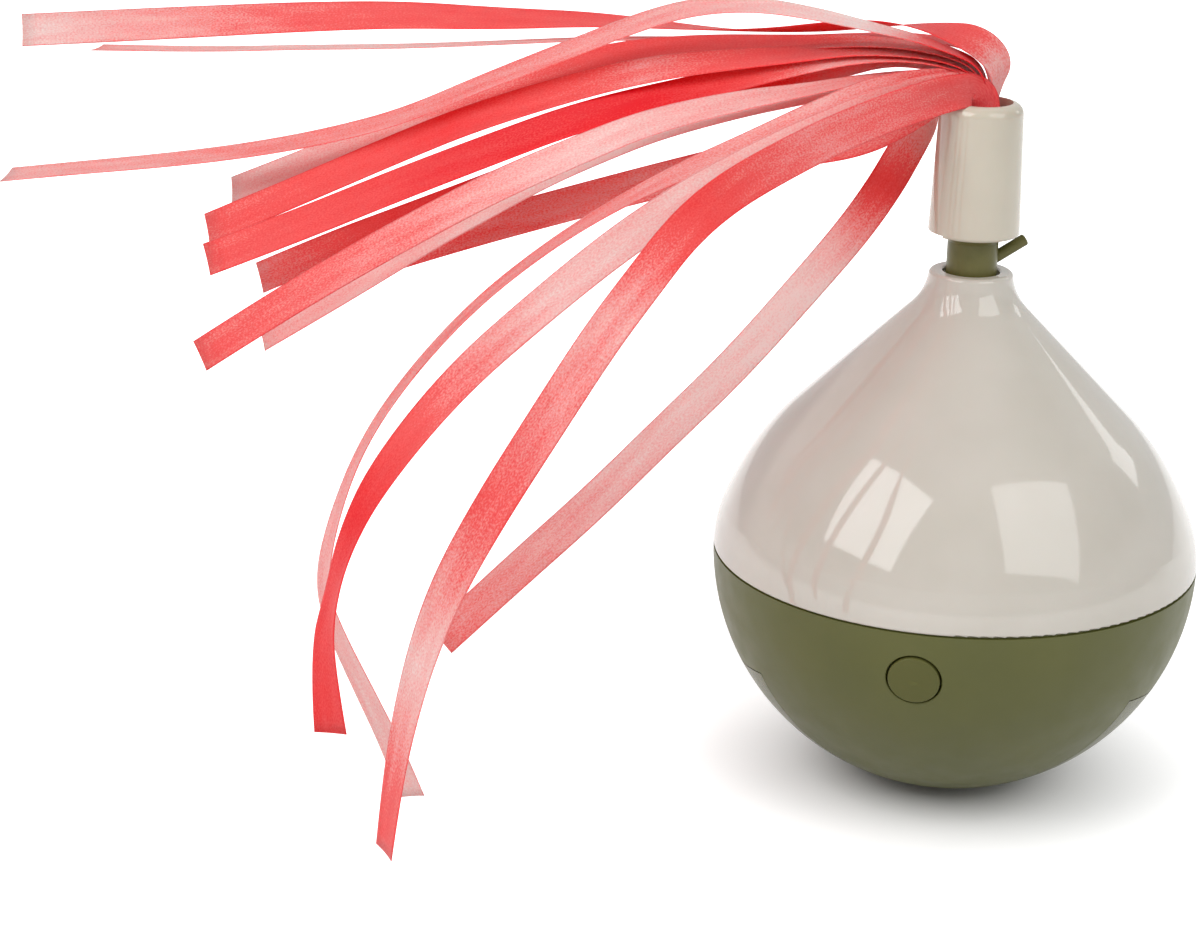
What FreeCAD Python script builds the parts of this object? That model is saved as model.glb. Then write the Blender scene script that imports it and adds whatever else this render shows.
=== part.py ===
"""Electronic hide-and-seek cat toy, millimetres.

A round battery bowl and a teardrop top hold a small gearbox. It turns the green spindle that
comes out of the neck, and the cream cap on the spindle carries a bunch of satin ribbons.
The origin is at the middle of the foot, on the surface that the toy stands on. X runs to the
right and Y to the back when the power button faces the viewer.
"""
import FreeCAD, Part

import math
import os
import re

import Sketcher

V = FreeCAD.Vector

# Driving sizes: alias, size in millimetres or degrees or a count, and what it is
SIZES = [
    ("body_radius", 43.0, "outer radius of the bowl at its widest"),
    ("foot_radius", 7.0, "radius of the flat that the toy stands on"),
    ("shell_wall", 2.2, "wall of both housings"),
    ("lip_height", 2.0, "depth of the lip where the two housings meet"),
    ("lip_wall", 1.0, "wall of the lip"),
    ("lip_gap", 0.1, "clearance round the lip"),
    ("seam_round", 0.45, "rounding of the upper housing's lower edge"),
    ("seam_gap", 0.2, "height of the shadow gap under the seam"),
    ("seam_depth", 0.5, "depth of the shadow gap under the seam"),
    ("waist_arc", 21.2, "radius of the curve just above the seam"),
    ("waist_turn", 20.2, "angle that the waist curve turns"),
    ("shoulder_arc", 49.5, "radius of the long curve of the shoulder"),
    ("cone_lean", 45.4, "lean of the straight cone from upright"),
    ("throat_arc", 10.0, "radius of the hollow curve under the neck"),
    ("neck_radius", 7.35, "outer radius of the neck under its rim"),
    ("neck_lean", 7.25, "lean of the neck from upright"),
    ("rim_round", 0.8, "rounding of the neck's rim"),
    ("mouth_round", 0.4, "rounding of the edge of the neck's mouth"),
    ("rim_ledge", 1.2, "thickness of the rim above the bush"),
    ("mouth_gap", 0.5, "gap between the neck's mouth and the spindle"),
    ("stem_radius", 4.4, "radius of the spindle where it shows"),
    ("running_gap", 0.05, "clearance of a shaft that turns in its hole"),
    ("overshoot", 1.0, "how far a cut reaches past what it cuts"),
    ("bush_wall", 1.2, "wall of the neck bush"),
    ("bush_length", 8.0, "length of the neck bush above its flange"),
    ("bush_flange", 1.4, "how far the bush's flange stands out"),
    ("flange_thickness", 1.0, "thickness of the bush's flange"),
    ("boss_wall", 2.0, "wall of the boss round the neck bush"),
    ("door_width", 36.6, "width of the battery door at its middle, front to back"),
    ("door_sweep", 115.0, "radius of the hollow curve of the door's long edges, seen from below"),
    ("door_low", 22.3, "height of the door's ends beside their tabs"),
    ("door_rise", 0.207, "slope of the door's ends away from their tabs"),
    ("tab_top", 25.8, "height of the tab at each end of the door"),
    ("tab_reach", 11.0, "half the width of the door's tabs"),
    ("door_wall", 2.0, "wall of the battery door"),
    ("door_gap", 0.2, "gap all round the battery door"),
    ("tub_wall", 1.6, "wall of the battery tub and its frame"),
    ("cell_radius", 5.25, "radius of a battery cell"),
    ("cell_length", 43.3, "length of a cell without its nub"),
    ("nub_length", 1.2, "length of a cell's nub"),
    ("nub_radius", 1.9, "radius of a cell's nub"),
    ("cell_pitch", 11.0, "distance between the cells' axes"),
    ("cell_height", 17.3, "height of the cells' axes"),
    ("cell_gap", 0.4, "clearance round the cells"),
    ("contact_room", 2.4, "room for the contacts at each end of the bay"),
    ("contact_sheet", 0.4, "thickness of the contacts' metal"),
    ("contact_height", 8.0, "twice the height of a contact above the cells' axes"),
    ("contact_width", 8.0, "width of a single contact"),
    ("leaf_width", 4.8, "width of the bowed leaf of a contact"),
    ("rib_place", 14.0, "distance of the door's ribs from the middle"),
    ("rib_wall", 1.2, "thickness of the door's ribs"),
    ("rib_gap", 0.3, "gap between the door's ribs and the cells"),
    ("rib_reach", 15.0, "half the length of the door's ribs"),
    ("post_clear", 0.55, "space between the battery tub and a screw post"),
    ("post_y", 10.0, "distance of the housing screws to front and back"),
    ("post_radius", 3.4, "radius of the housing's screw posts"),
    ("post_seat", 27.0, "height of the seats of the housing screws"),
    ("boss_clear", 0.6, "space between the battery tub and a door boss"),
    ("door_boss", 4.0, "radius of the door's screw bosses"),
    ("door_boss_top", 18.5, "height of the top of the door's bosses"),
    ("door_seat", 16.2, "height of the seats of the door screws"),
    ("pilot_depth", 10.0, "depth of the holes for the door screws"),
    ("blind_wall", 1.0, "material past the end of a blind hole"),
    ("head_radius", 2.3, "radius of a screw's head"),
    ("head_height", 1.8, "height of a screw's head"),
    ("head_room", 0.3, "clearance round a screw's head"),
    ("drive_reach", 1.4, "reach of the cross in a screw's head"),
    ("drive_width", 0.6, "width of the cross in a screw's head"),
    ("shank_radius", 1.3, "radius of a screw's shank"),
    ("housing_screw", 24.0, "length of a housing screw below its head"),
    ("door_screw", 10.0, "length of a door screw below its head"),
    ("gearbox_screw", 20.0, "length of a gearbox screw below its head"),
    ("motor_width", 15.5, "width of the motor"),
    ("motor_flat", 12.0, "thickness of the motor across its flats"),
    ("motor_length", 18.7, "length of the motor's can"),
    ("motor_cap", 1.5, "thickness of the motor's end cap"),
    ("motor_step", 0.5, "how far the motor's end cap is smaller all round"),
    ("motor_nose", 2.5, "radius of the motor's front bearing"),
    ("nose_height", 1.0, "height of the motor's front bearing"),
    ("motor_shaft", 1.0, "radius of the motor's shaft"),
    ("shaft_depth", 8.0, "depth of the shaft's bore in the motor"),
    ("cradle_height", 3.0, "height of the walls round the motor's foot"),
    ("cradle_wall", 1.2, "thickness of the walls round the motor's foot"),
    ("gear_module", 0.5, "module of all the gears"),
    ("pressure_angle", 20.0, "pressure angle of all the gears"),
    ("tooth_root", 1.25, "depth of a tooth below the pitch circle, in modules"),
    ("tooth_tip", 0.9, "height of a tooth above the pitch circle, in modules"),
    ("pinion_teeth", 10, "teeth of the motor pinion"),
    ("wheel_teeth", 40, "teeth of the reduction gear's wheel"),
    ("small_teeth", 12, "teeth of the reduction gear's pinion"),
    ("output_teeth", 44, "teeth of the output gear"),
    ("web_holes", 5, "number of lightening holes in the output gear"),
    ("web_hole", 1.5, "radius of a lightening hole"),
    ("gear_face", 4.0, "width of the gears' teeth"),
    ("gear_backlash", 0.14, "play between the teeth"),
    ("level_gap", 0.8, "gap between the two levels of gears"),
    ("end_play", 0.6, "room under and over the gears"),
    ("idler_bearing", 52.5, "direction of the reduction gear from the spindle"),
    ("motor_bearing", -47.2, "direction of the motor from the reduction gear"),
    ("pin_radius", 1.0, "radius of the reduction gear's pin"),
    ("hub_wall", 1.2, "wall of the hub round the pin"),
    ("plate_thickness", 2.0, "thickness of the gearbox plates"),
    ("plate_left", 19.0, "reach of the gearbox plate to the left"),
    ("plate_right", 26.0, "reach of the gearbox plate to the right"),
    ("plate_front", 18.5, "reach of the gearbox plate to the front"),
    ("plate_back", 21.0, "reach of the gearbox plate to the back"),
    ("plate_corner", 6.0, "rounding of the gearbox plates' corners"),
    ("pillar_radius", 2.6, "radius of the gearbox pillars"),
    ("left_pillar_x", 15.5, "place of the left pillar, to the left"),
    ("left_pillar_y", 2.0, "place of the left pillar, to the back"),
    ("front_pillar_x", 8.0, "place of the front pillar, to the right"),
    ("front_pillar_y", 14.5, "place of the front pillar, to the front"),
    ("right_pillar_x", 22.0, "place of the right pillar, to the right"),
    ("right_pillar_y", 15.0, "place of the right pillar, to the back"),
    ("pivot_radius", 1.5, "radius of the spindle's foot"),
    ("washer_rim", 1.0, "how far the washer stands out past the spindle"),
    ("shaft_radius", 2.5, "radius of the spindle at its gear"),
    ("journal_radius", 3.2, "radius of the spindle in the gearbox cover"),
    ("cap_gap", 6.65, "height of the cap above the neck"),
    ("cap_height", 23.0, "height of the ribbon cap"),
    ("cap_foot", 7.9, "outer radius of the cap at its foot"),
    ("cap_head", 7.2, "outer radius of the cap at its shoulder"),
    ("cap_round", 2.0, "rounding of the cap's shoulder"),
    ("cap_mouth", 5.3, "radius of the opening that the ribbons come out of"),
    ("skirt_wall", 1.5, "wall of the cap's skirt"),
    ("skirt_depth", 3.4, "depth of the cap's skirt"),
    ("foot_round", 0.6, "rounding of the cap's foot"),
    ("rim_step", 0.5, "how much higher the left part of the cap's rim is"),
    ("step_place", 5.2, "place of the step in the cap's rim, to the left"),
    ("grip_gap", 0.1, "clearance between the spindle and the cap"),
    ("anchor_radius", 6.0, "radius of the ribbon anchor"),
    ("anchor_height", 6.0, "height of the ribbon anchor"),
    ("slot_front", 4.2, "reach of the anchor's slot to the front"),
    ("slot_back", 4.6, "reach of the anchor's slot to the back"),
    ("slot_floor", 1.0, "thickness of the anchor under its slot"),
    ("socket_depth", 11.2, "height of the spindle inside the cap"),
    ("collar_radius", 4.8, "radius of the spindle's collar"),
    ("collar_height", 1.2, "height of the spindle's collar"),
    ("collar_gap", 0.15, "gap between the spindle's collar and the cap's foot"),
    ("stem_chamfer", 0.4, "chamfer of the spindle's top"),
    ("finger_radius", 1.05, "radius of the spindle's finger"),
    ("finger_reach", 9.55, "distance of the middle of the finger's end from the axis"),
    ("finger_drop", 1.45, "depth of the middle of the finger's end below the cap's foot"),
    ("finger_round", 0.3, "rounding of the finger's end"),
    ("finger_lean", 30.0, "rise of the finger from the spindle, as an angle"),
    ("finger_azimuth", 20.0, "turn of the finger to the back"),
    ("button_azimuth", -6.9, "place of the button round the bowl, from the front"),
    ("button_drop", 11.8, "angle of the button below the seam"),
    ("button_radius", 4.4, "radius of the power button"),
    ("button_gap", 0.3, "gap round the power button"),
    ("button_proud", 0.25, "how far the button stands out of the bowl"),
    ("edge_round", 0.25, "rounding of the edges of the button and of its hole"),
    ("button_flange", 1.2, "how far the button's flange stands out"),
    ("flange_sheet", 1.0, "thickness of the button's flange"),
    ("button_travel", 0.8, "travel of the button"),
    ("plunger_radius", 1.7, "radius of the switch's plunger"),
    ("plunger_reach", 0.8, "how far the plunger stands out of the switch"),
    ("switch_width", 6.0, "width of the switch"),
    ("switch_height", 3.5, "height of the switch"),
    ("board_width", 24.0, "width of the circuit board"),
    ("board_height", 16.0, "height of the circuit board"),
    ("board_thickness", 1.2, "thickness of the circuit board"),
    ("board_inset", 11.5, "depth of the board's inner face under the bowl's surface"),
    ("board_screw_x", 9.5, "distance of the board's screws from its middle"),
    ("board_screw", 5.0, "length of a board screw below its head"),
    ("chip_width", 7.0, "width of the controller chip"),
    ("chip_height", 5.0, "height of the controller chip"),
    ("chip_depth", 1.5, "thickness of the controller chip"),
    ("chip_place", 3.5, "place of the controller chip above the board's middle"),
    ("can_radius", 2.5, "radius of the capacitor"),
    ("can_length", 6.5, "length of the capacitor"),
    ("can_place", 3.2, "place of the capacitor, to the side"),
    ("can_drop", 4.2, "place of the capacitor below the board's middle"),
    ("sensor_width", 4.0, "width of the motion sensor"),
    ("sensor_height", 7.0, "height of the motion sensor"),
    ("sensor_depth", 3.6, "thickness of the motion sensor"),
    ("sensor_place", 4.4, "place of the motion sensor, to the side"),
    ("sensor_drop", 3.6, "place of the motion sensor below the board's middle"),
    ("ribbon_width", 6.35, "width of a ribbon"),
    ("ribbon_thickness", 0.2, "thickness of a ribbon"),
]

# Sizes that follow from them: alias, formula, and what it is
WORKED_OUT = [
    ("equator", "sqrt(body_radius^2 - foot_radius^2)", "height of the seam"),
    ("waist_r", "body_radius - waist_arc * (1 - cos(waist_turn))", "radius at the waist curve's top"),
    ("waist_z", "equator + waist_arc * sin(waist_turn)", "height of the waist curve's top"),
    ("cone_r", "waist_r - shoulder_arc * (cos(waist_turn) - cos(cone_lean))", "radius at the cone's foot"),
    ("cone_z", "waist_z + shoulder_arc * (sin(cone_lean) - sin(waist_turn))", "height of the cone's foot"),
    ("throat_r", "neck_radius + throat_arc * (cos(neck_lean) - cos(cone_lean))", "radius at the cone's top"),
    ("throat_z", "cone_z + (cone_r - throat_r) / tan(cone_lean)", "height of the cone's top"),
    ("neck_z", "throat_z + throat_arc * (sin(cone_lean) - sin(neck_lean))", "height of the neck's foot"),
    ("neck_top", "neck_z + rim_round * (1 - sin(neck_lean))", "height of the neck's top"),
    ("inner_radius", "body_radius - shell_wall", "inner radius of the bowl"),
    ("bush_radius", "stem_radius + running_gap + bush_wall", "outer radius of the neck bush"),
    ("boss_radius", "bush_radius + boss_wall", "outer radius of the boss round the bush"),
    ("bush_top", "neck_top - rim_ledge", "height of the bush's top"),
    ("bush_foot", "bush_top - bush_length", "height of the bush's flange"),
    ("tub_radius", "body_radius - door_wall - door_gap", "radius of the tub's outer skin"),
    ("bay_x", "(cell_length + nub_length) / 2 + contact_room", "half the length of the battery bay"),
    ("bay_y", "cell_pitch + cell_radius + cell_gap", "half the width of the battery bay"),
    ("bay_ceiling", "cell_height + cell_radius + cell_gap", "height of the bay's ceiling"),
    ("post_x", "bay_x + tub_wall + post_clear + post_radius", "distance of the housing screws to the side"),
    ("door_screw_x", "bay_x + tub_wall + boss_clear + door_gap + door_boss",
     "distance of the door screws from the middle"),
    ("contact_foot", "equator - sqrt((body_radius - door_wall)^2 - bay_x^2"
     " - (cell_pitch + contact_width / 2)^2) + lip_gap", "foot of the contacts, just above the door"),
    ("contact_top", "cell_height + contact_height / 2", "top of the contacts"),
    ("board_place", "body_radius - board_inset",
     "distance of the board's inner face from the bowl's middle"),
    ("bay_top", "bay_ceiling + tub_wall", "height of the top of the battery tub"),
    ("plate_z", "bay_top + motor_length", "height of the gearbox plate"),
    ("low_gears", "plate_z + plate_thickness + end_play", "height of the lower gears"),
    ("high_gears", "low_gears + gear_face + level_gap", "height of the upper gears"),
    ("cover_z", "high_gears + gear_face + end_play", "height of the gearbox cover"),
    ("cover_top", "cover_z + plate_thickness", "height of the cover's top"),
    ("output_reach", "gear_module * (small_teeth + output_teeth) / 2", "spindle to reduction gear"),
    ("motor_reach", "gear_module * (pinion_teeth + wheel_teeth) / 2", "reduction gear to motor"),
    ("idler_x", "output_reach * cos(idler_bearing)", "place of the reduction gear"),
    ("idler_y", "output_reach * sin(idler_bearing)", "place of the reduction gear"),
    ("motor_x", "idler_x + motor_reach * cos(motor_bearing)", "place of the motor"),
    ("motor_y", "idler_y + motor_reach * sin(motor_bearing)", "place of the motor"),
    ("cap_z", "neck_top + cap_gap", "height of the cap's foot"),
    ("cap_top", "cap_z + cap_height", "height of the cap's top"),
    ("stem_top", "cap_z + socket_depth", "height of the spindle's top"),
    ("anchor_z", "stem_top + grip_gap * 3", "height of the ribbon anchor"),
    ("anchor_top", "anchor_z + anchor_height", "height of the anchor's top"),
    ("flange_face", "sqrt(inner_radius^2 - (button_radius + button_flange)^2) - lip_gap",
     "distance of the button's flange from the bowl's middle"),
    ("plunger_tip", "board_place + board_thickness + switch_height + plunger_reach", "tip of the plunger"),
    ("button_end", "plunger_tip + button_travel + lip_gap", "inner end of the button's stem"),
]

# Gearbox pillars, left, front and right
PILLARS = [("-left_pillar_x", "left_pillar_y"), ("front_pillar_x", "-front_pillar_y"),
           ("right_pillar_x", "right_pillar_y")]

doc = FreeCAD.newDocument("CatToy")
sheet = doc.addObject("Spreadsheet::Sheet", "Dims")
ALIASES = [row[0] for row in SIZES + WORKED_OUT]
NAMES = re.compile(r"\b(" + "|".join(ALIASES) + r")\b")
PARTS = []


def fill_sheet():
    """Write the driving sizes as plain numbers, and the worked-out ones as formulas."""
    for row, (alias, size, meaning) in enumerate(SIZES, start=1):
        sheet.set("A%d" % row, meaning)
        sheet.set("B%d" % row, str(size))
        sheet.setAlias("B%d" % row, alias)
    for row, (alias, rule, meaning) in enumerate(WORKED_OUT, start=len(SIZES) + 1):
        sheet.set("A%d" % row, meaning)
        sheet.set("B%d" % row, "=" + rule)
        sheet.setAlias("B%d" % row, alias)
    doc.recompute()


def linked(rule):
    """Return the formula with each alias pointing at the sheet."""
    return NAMES.sub(r"Dims.\1", rule)


def size(rule):
    """Return the number that a formula of the sheet's names stands for."""
    return float(sheet.evalExpression(linked(rule)))


def bind(item, **rules):
    """Tie properties of an object to the sheet."""
    for name, rule in rules.items():
        item.setExpression(name, linked(rule))


def place(item, x="0", y="0", z="0"):
    """Tie an object's place to the sheet."""
    for axis, rule in (("x", x), ("y", y), ("z", z)):
        if rule != "0":
            item.setExpression("Placement.Base." + axis, linked(rule))


def part(label, item):
    """Name a finished sub-part and list it for export."""
    item.Label = label
    PARTS.append(item)
    return item


# Primitives

def rod(name, radius, x, y, foot, top):
    """Return an upright cylinder from one height to another."""
    item = doc.addObject("Part::Cylinder", name)
    bind(item, Radius=radius, Height="(%s) - (%s)" % (top, foot))
    place(item, x, y, foot)
    return item


def block(name, left, right, front, back, foot, top):
    """Return a box between six planes."""
    item = doc.addObject("Part::Box", name)
    bind(item, Length="(%s) - (%s)" % (right, left), Width="(%s) - (%s)" % (back, front),
         Height="(%s) - (%s)" % (top, foot))
    place(item, left, front, foot)
    return item


def middle_block(name, half_x, half_y, foot, top):
    """Return a box that is centred on the upright axis."""
    return block(name, "-(%s)" % half_x, half_x, "-(%s)" % half_y, half_y, foot, top)


def ball(name, radius):
    """Return a ball about the bowl's middle."""
    item = doc.addObject("Part::Sphere", name)
    bind(item, Radius=radius)
    place(item, z="equator")
    return item


def fuse(name, *items):
    """Return the union of some shapes."""
    item = doc.addObject("Part::MultiFuse", name)
    item.Shapes = list(items)
    item.Refine = True
    return item


def cut(name, base, tool):
    """Return one shape without another."""
    item = doc.addObject("Part::Cut", name)
    item.Base = base
    item.Tool = tool
    item.Refine = True
    return item


def common(name, *items):
    """Return what some shapes share."""
    item = doc.addObject("Part::MultiCommon", name)
    item.Shapes = list(items)
    return item


def group(name, *items):
    """Return separate solids as one sub-part."""
    item = doc.addObject("Part::Compound", name)
    item.Links = list(items)
    return item


# Sketched bodies

def new_sketch(name, plane):
    """Return a body and a sketch on one of its origin planes."""
    body = doc.addObject("PartDesign::Body", name)
    sketch = body.newObject("Sketcher::SketchObject", name + "Sketch")
    base = [item for item in body.Origin.OriginFeatures if item.Role == plane][0]
    sketch.AttachmentSupport = [(base, "")]
    sketch.MapMode = "FlatFace"
    return body, sketch


def curve_between(start, end, radius, bend):
    """Return the short arc between two points that turns left (1) or right (-1)."""
    chord = end - start
    half = chord.Length / 2
    left = V(-chord.y, chord.x, 0).normalize()
    centre = (start + end) / 2 + left * bend * math.sqrt(max(radius ** 2 - half ** 2, 0))
    turns = [math.atan2(point.y - centre.y, point.x - centre.x) for point in (start, end)]
    if bend < 0:
        turns.reverse()
    return Part.ArcOfCircle(Part.Circle(centre, V(0, 0, 1), radius), turns[0], turns[1])


def pin_corner(sketch, edge, end, x, y):
    """Tie one end of an edge to its place on the sheet."""
    for kind, rule, axis in (("DistanceX", x, -2), ("DistanceY", y, -1)):
        if rule == "0":
            sketch.addConstraint(Sketcher.Constraint("PointOnObject", edge, end, axis))
        else:
            number = sketch.addConstraint(Sketcher.Constraint(kind, -1, 1, edge, end, size(rule)))
            sketch.setExpression("Constraints[%d]" % number, linked(rule))


def draw(sketch, corners):
    """Draw a closed outline. A corner is x and y, and for an arc to it also radius and bend."""
    points = [V(size(corner[0]), size(corner[1]), 0) for corner in corners]
    ends = []
    for index, corner in enumerate(corners):
        start, end = points[index - 1], points[index]
        bend = corner[3] if len(corner) > 2 else 0
        if bend:
            curve = curve_between(start, end, size(corner[2]), bend)
        else:
            curve = Part.LineSegment(start, end)
        edge = sketch.addGeometry(curve, False)
        ends.append((edge, 1 if bend < 0 else 2, 2 if bend < 0 else 1))
    for index, corner in enumerate(corners):
        edge, last, _ = ends[index]
        following, _, first = ends[(index + 1) % len(corners)]
        sketch.addConstraint(Sketcher.Constraint("Coincident", edge, last, following, first))
        pin_corner(sketch, edge, last, corner[0], corner[1])
        if len(corner) > 2:
            number = sketch.addConstraint(Sketcher.Constraint("Radius", edge, size(corner[2])))
            sketch.setExpression("Constraints[%d]" % number, linked(corner[2]))


def turned(name, corners):
    """Return a body turned about the upright axis from an outline of radii and heights."""
    body, sketch = new_sketch(name, "XZ_Plane")
    draw(sketch, corners)
    turn = body.newObject("PartDesign::Revolution", name + "Turn")
    turn.Profile = sketch
    turn.ReferenceAxis = (sketch, ["V_Axis"])
    turn.Angle = 360
    return body


def upright_pad(name, corners, foot, height):
    """Return a body padded upwards from a plan outline."""
    body, sketch = new_sketch(name, "XY_Plane")
    draw(sketch, corners)
    pad = body.newObject("PartDesign::Pad", name + "Pad")
    pad.Profile = sketch
    bind(pad, Length=height)
    place(body, z=foot)
    return body


def side_pad(name, corners, width, plane="XZ_Plane"):
    """Return a body padded both ways from an outline seen from the front, or from the side."""
    body, sketch = new_sketch(name, plane)
    draw(sketch, corners)
    pad = body.newObject("PartDesign::Pad", name + "Pad")
    pad.Profile = sketch
    pad.Midplane = True
    bind(pad, Length=width)
    return body


def rounded_plan(left, right, front, back, corner):
    """Return the outline of a plate with rounded corners, given its reach each way."""
    inner = {"l": "-(%s) + %s" % (left, corner), "r": "%s - %s" % (right, corner),
             "f": "-(%s) + %s" % (front, corner), "b": "%s - %s" % (back, corner)}
    outer = {"l": "-(%s)" % left, "r": right, "f": "-(%s)" % front, "b": back}
    return [(inner["l"], outer["f"]), (inner["r"], outer["f"]),
            (outer["r"], inner["f"], corner, 1), (outer["r"], inner["b"]),
            (inner["r"], outer["b"], corner, 1), (inner["l"], outer["b"]),
            (outer["l"], inner["b"], corner, 1), (outer["l"], inner["f"]),
            (inner["l"], outer["f"], corner, 1)][1:]


# Housings

def inner_curve():
    """Return the upper housing's inner outline from the boss down to the seam."""
    lean_r = "cone_r - shell_wall * cos(cone_lean)"
    lean_z = "cone_z - shell_wall * sin(cone_lean)"
    return [("boss_radius", "%s + (%s - boss_radius) / tan(cone_lean)" % (lean_z, lean_r)),
            (lean_r, lean_z),
            ("waist_r - shell_wall * cos(waist_turn)", "waist_z - shell_wall * sin(waist_turn)",
             "shoulder_arc - shell_wall", -1),
            ("inner_radius", "equator", "waist_arc - shell_wall", -1)]


def upper_housing():
    """Teardrop top with its lip, the seat of the neck bush and four screw posts."""
    lip = "inner_radius + lip_wall"
    lip_foot = "equator - lip_height + lip_gap"
    shoulder = [("body_radius - seam_round", "equator"),
                ("body_radius", "equator + seam_round", "seam_round", 1),
                ("waist_r", "waist_z", "waist_arc", 1),
                ("cone_r", "cone_z", "shoulder_arc", 1)]
    neck = [("throat_r", "throat_z"),
            ("neck_radius", "neck_z", "throat_arc", -1),
            ("neck_radius - rim_round * cos(neck_lean)", "neck_top", "rim_round", 1),
            ("stem_radius + mouth_gap + mouth_round", "neck_top"),
            ("stem_radius + mouth_gap", "neck_top - mouth_round", "mouth_round", 1),
            ("stem_radius + mouth_gap", "bush_top"),
            ("bush_radius", "bush_top"),
            ("bush_radius", "bush_foot"),
            ("boss_radius", "bush_foot")]
    foot = [("inner_radius", lip_foot), (lip, lip_foot), (lip, "equator")]
    shell = turned("UpperShell", shoulder + neck + inner_curve() + foot)
    fill = turned("UpperFill", [("0", "equator")] + shoulder + [("0", "cone_z")])
    posts = []
    pilots = []
    for side, x in (("Left", "-post_x"), ("Right", "post_x")):
        for end, y in (("Front", "-post_y"), ("Back", "post_y")):
            posts.append(rod("UpperPost" + side + end, "post_radius", x, y, "equator", "cone_z"))
            pilots.append(rod("UpperPilot" + side + end, "shank_radius", x, y, "equator - overshoot",
                              "post_seat + housing_screw + overshoot"))
    inside = common("UpperPosts", fuse("UpperPostSet", *posts), fill)
    whole = fuse("UpperWhole", shell, inside)
    return part("upper_housing", cut("UpperHousing", whole, fuse("UpperPilots", *pilots)))


def button_frame():
    """Return the placement whose Z axis runs out of the bowl through the button."""
    around = math.radians(size("button_azimuth"))
    down = math.radians(size("button_drop"))
    out = V(math.sin(around) * math.cos(down), -math.cos(around) * math.cos(down), -math.sin(down))
    side = V(math.cos(around), math.sin(around), 0)
    return FreeCAD.Placement(V(0, 0, size("equator")), FreeCAD.Rotation(side, V(), out, "ZXY"))


def aimed(item, x=0, y=0, z=0):
    """Turn an object into the button's frame, at a place in it."""
    item.Placement = button_frame().multiply(FreeCAD.Placement(V(x, y, z), FreeCAD.Rotation()))
    return item


def aimed_rod(name, radius, x, foot, top, y="0"):
    """Return a cylinder along the button's axis, through a point x, y."""
    item = doc.addObject("Part::Cylinder", name)
    bind(item, Radius=radius, Height="(%s) - (%s)" % (top, foot))
    return aimed(item, size(x), size(y), size(foot))


def aimed_box(name, width, height, x, y, foot, top):
    """Return a box whose thickness runs along the button's axis, about a point x, y."""
    item = doc.addObject("Part::Box", name)
    bind(item, Length=width, Width=height, Height="(%s) - (%s)" % (top, foot))
    return aimed(item, size(x) - size(width) / 2, size(y) - size(height) / 2, size(foot))


def saddle(name, foot, grow):
    """Return a block with the battery door's outline from below and from the side, grown all round."""
    end = "(body_radius + overshoot)"
    sweep = "(door_sweep - (%s))" % grow
    edge = "(door_width / 2 + door_sweep - sqrt(%s^2 - %s^2))" % (sweep, end)
    plan = upright_pad(name + "Plan", [("-" + end, "-" + edge), (end, "-" + edge, sweep, -1),
                                       (end, edge), ("-" + end, edge, sweep, -1)],
                       foot, "tab_top + tub_wall * 2 + overshoot")
    tab = "(tab_reach + %s)" % grow
    tab_head = "tab_top + %s" % grow
    notch = "door_low + (%s) * (1 + door_rise)" % grow
    wing = "door_low + door_rise * (body_radius - tab_reach) + %s" % grow
    ends = side_pad(name + "Ends", [("body_radius", foot), ("body_radius", wing), (tab, notch),
                                    (tab, tab_head), ("-" + tab, tab_head), ("-" + tab, notch),
                                    ("-body_radius", wing), ("-body_radius", foot)],
                    end + " * 2", "YZ_Plane")
    return common(name, plan, ends)


def rounded_end(radius, reach, side, bend):
    """Return the corners where a cylinder on the button's axis rounds into a ball of a radius."""
    middle = "(%s %s edge_round)" % (radius, side)
    height = "sqrt((%s - edge_round)^2 - %s^2)" % (reach, middle)
    scale = "%s / (%s - edge_round)" % (reach, reach)
    return [(radius, height),
            ("%s * %s" % (middle, scale), "%s * %s" % (height, scale), "edge_round", bend)]


def tub_frame(window):
    """Skin behind the battery door, and the walls that join it to the bowl."""
    layer = cut("TubLayer", ball("TubOuter", "body_radius - shell_wall / 2"),
                ball("TubInner", "tub_radius - tub_wall"))
    band = common("TubBand", layer, saddle("TubReach", "0", "door_gap + tub_wall"))
    return cut("TubFrame", band, cut("DoorSpace", window, ball("DoorBack", "tub_radius")))


def lower_bosses():
    """Return the solids that stand in the bowl: screw posts, pillars and the motor's cradle."""
    solids = []
    for side, sign in (("Left", "-"), ("Right", "")):
        for end, y in (("Front", "-post_y"), ("Back", "post_y")):
            solids.append(rod("LowerPost" + side + end, "post_radius", sign + "post_x", y, "0", "equator"))
        solids.append(rod("DoorSocket" + side, "door_boss + door_gap + tub_wall", sign + "door_screw_x", "0",
                          "0", "door_boss_top + door_gap + tub_wall"))
        solids.append(rod("DoorPilotBoss" + side, "post_radius", sign + "door_screw_x", "0",
                          "0", "door_boss_top + door_gap + pilot_depth + blind_wall"))
    return common("BowlBosses", fuse("BowlBossSet", *solids), ball("BossLimit", "tub_radius"))


def motor_cradle():
    """Low wall round the motor's foot."""
    half_x = "motor_width / 2 + lip_gap"
    half_y = "motor_flat / 2 + lip_gap"
    outer_x = half_x + " + cradle_wall"
    outer_y = half_y + " + cradle_wall"
    outer = block("CradleOuter", "motor_x - (%s)" % outer_x, "motor_x + %s" % outer_x,
                  "motor_y - (%s)" % outer_y, "motor_y + %s" % outer_y,
                  "bay_ceiling", "bay_top + cradle_height")
    inner = block("CradleInner", "motor_x - (%s)" % half_x, "motor_x + %s" % half_x,
                  "motor_y - (%s)" % half_y, "motor_y + %s" % half_y,
                  "bay_top", "bay_top + cradle_height + overshoot")
    return cut("Cradle", outer, inner)


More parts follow.
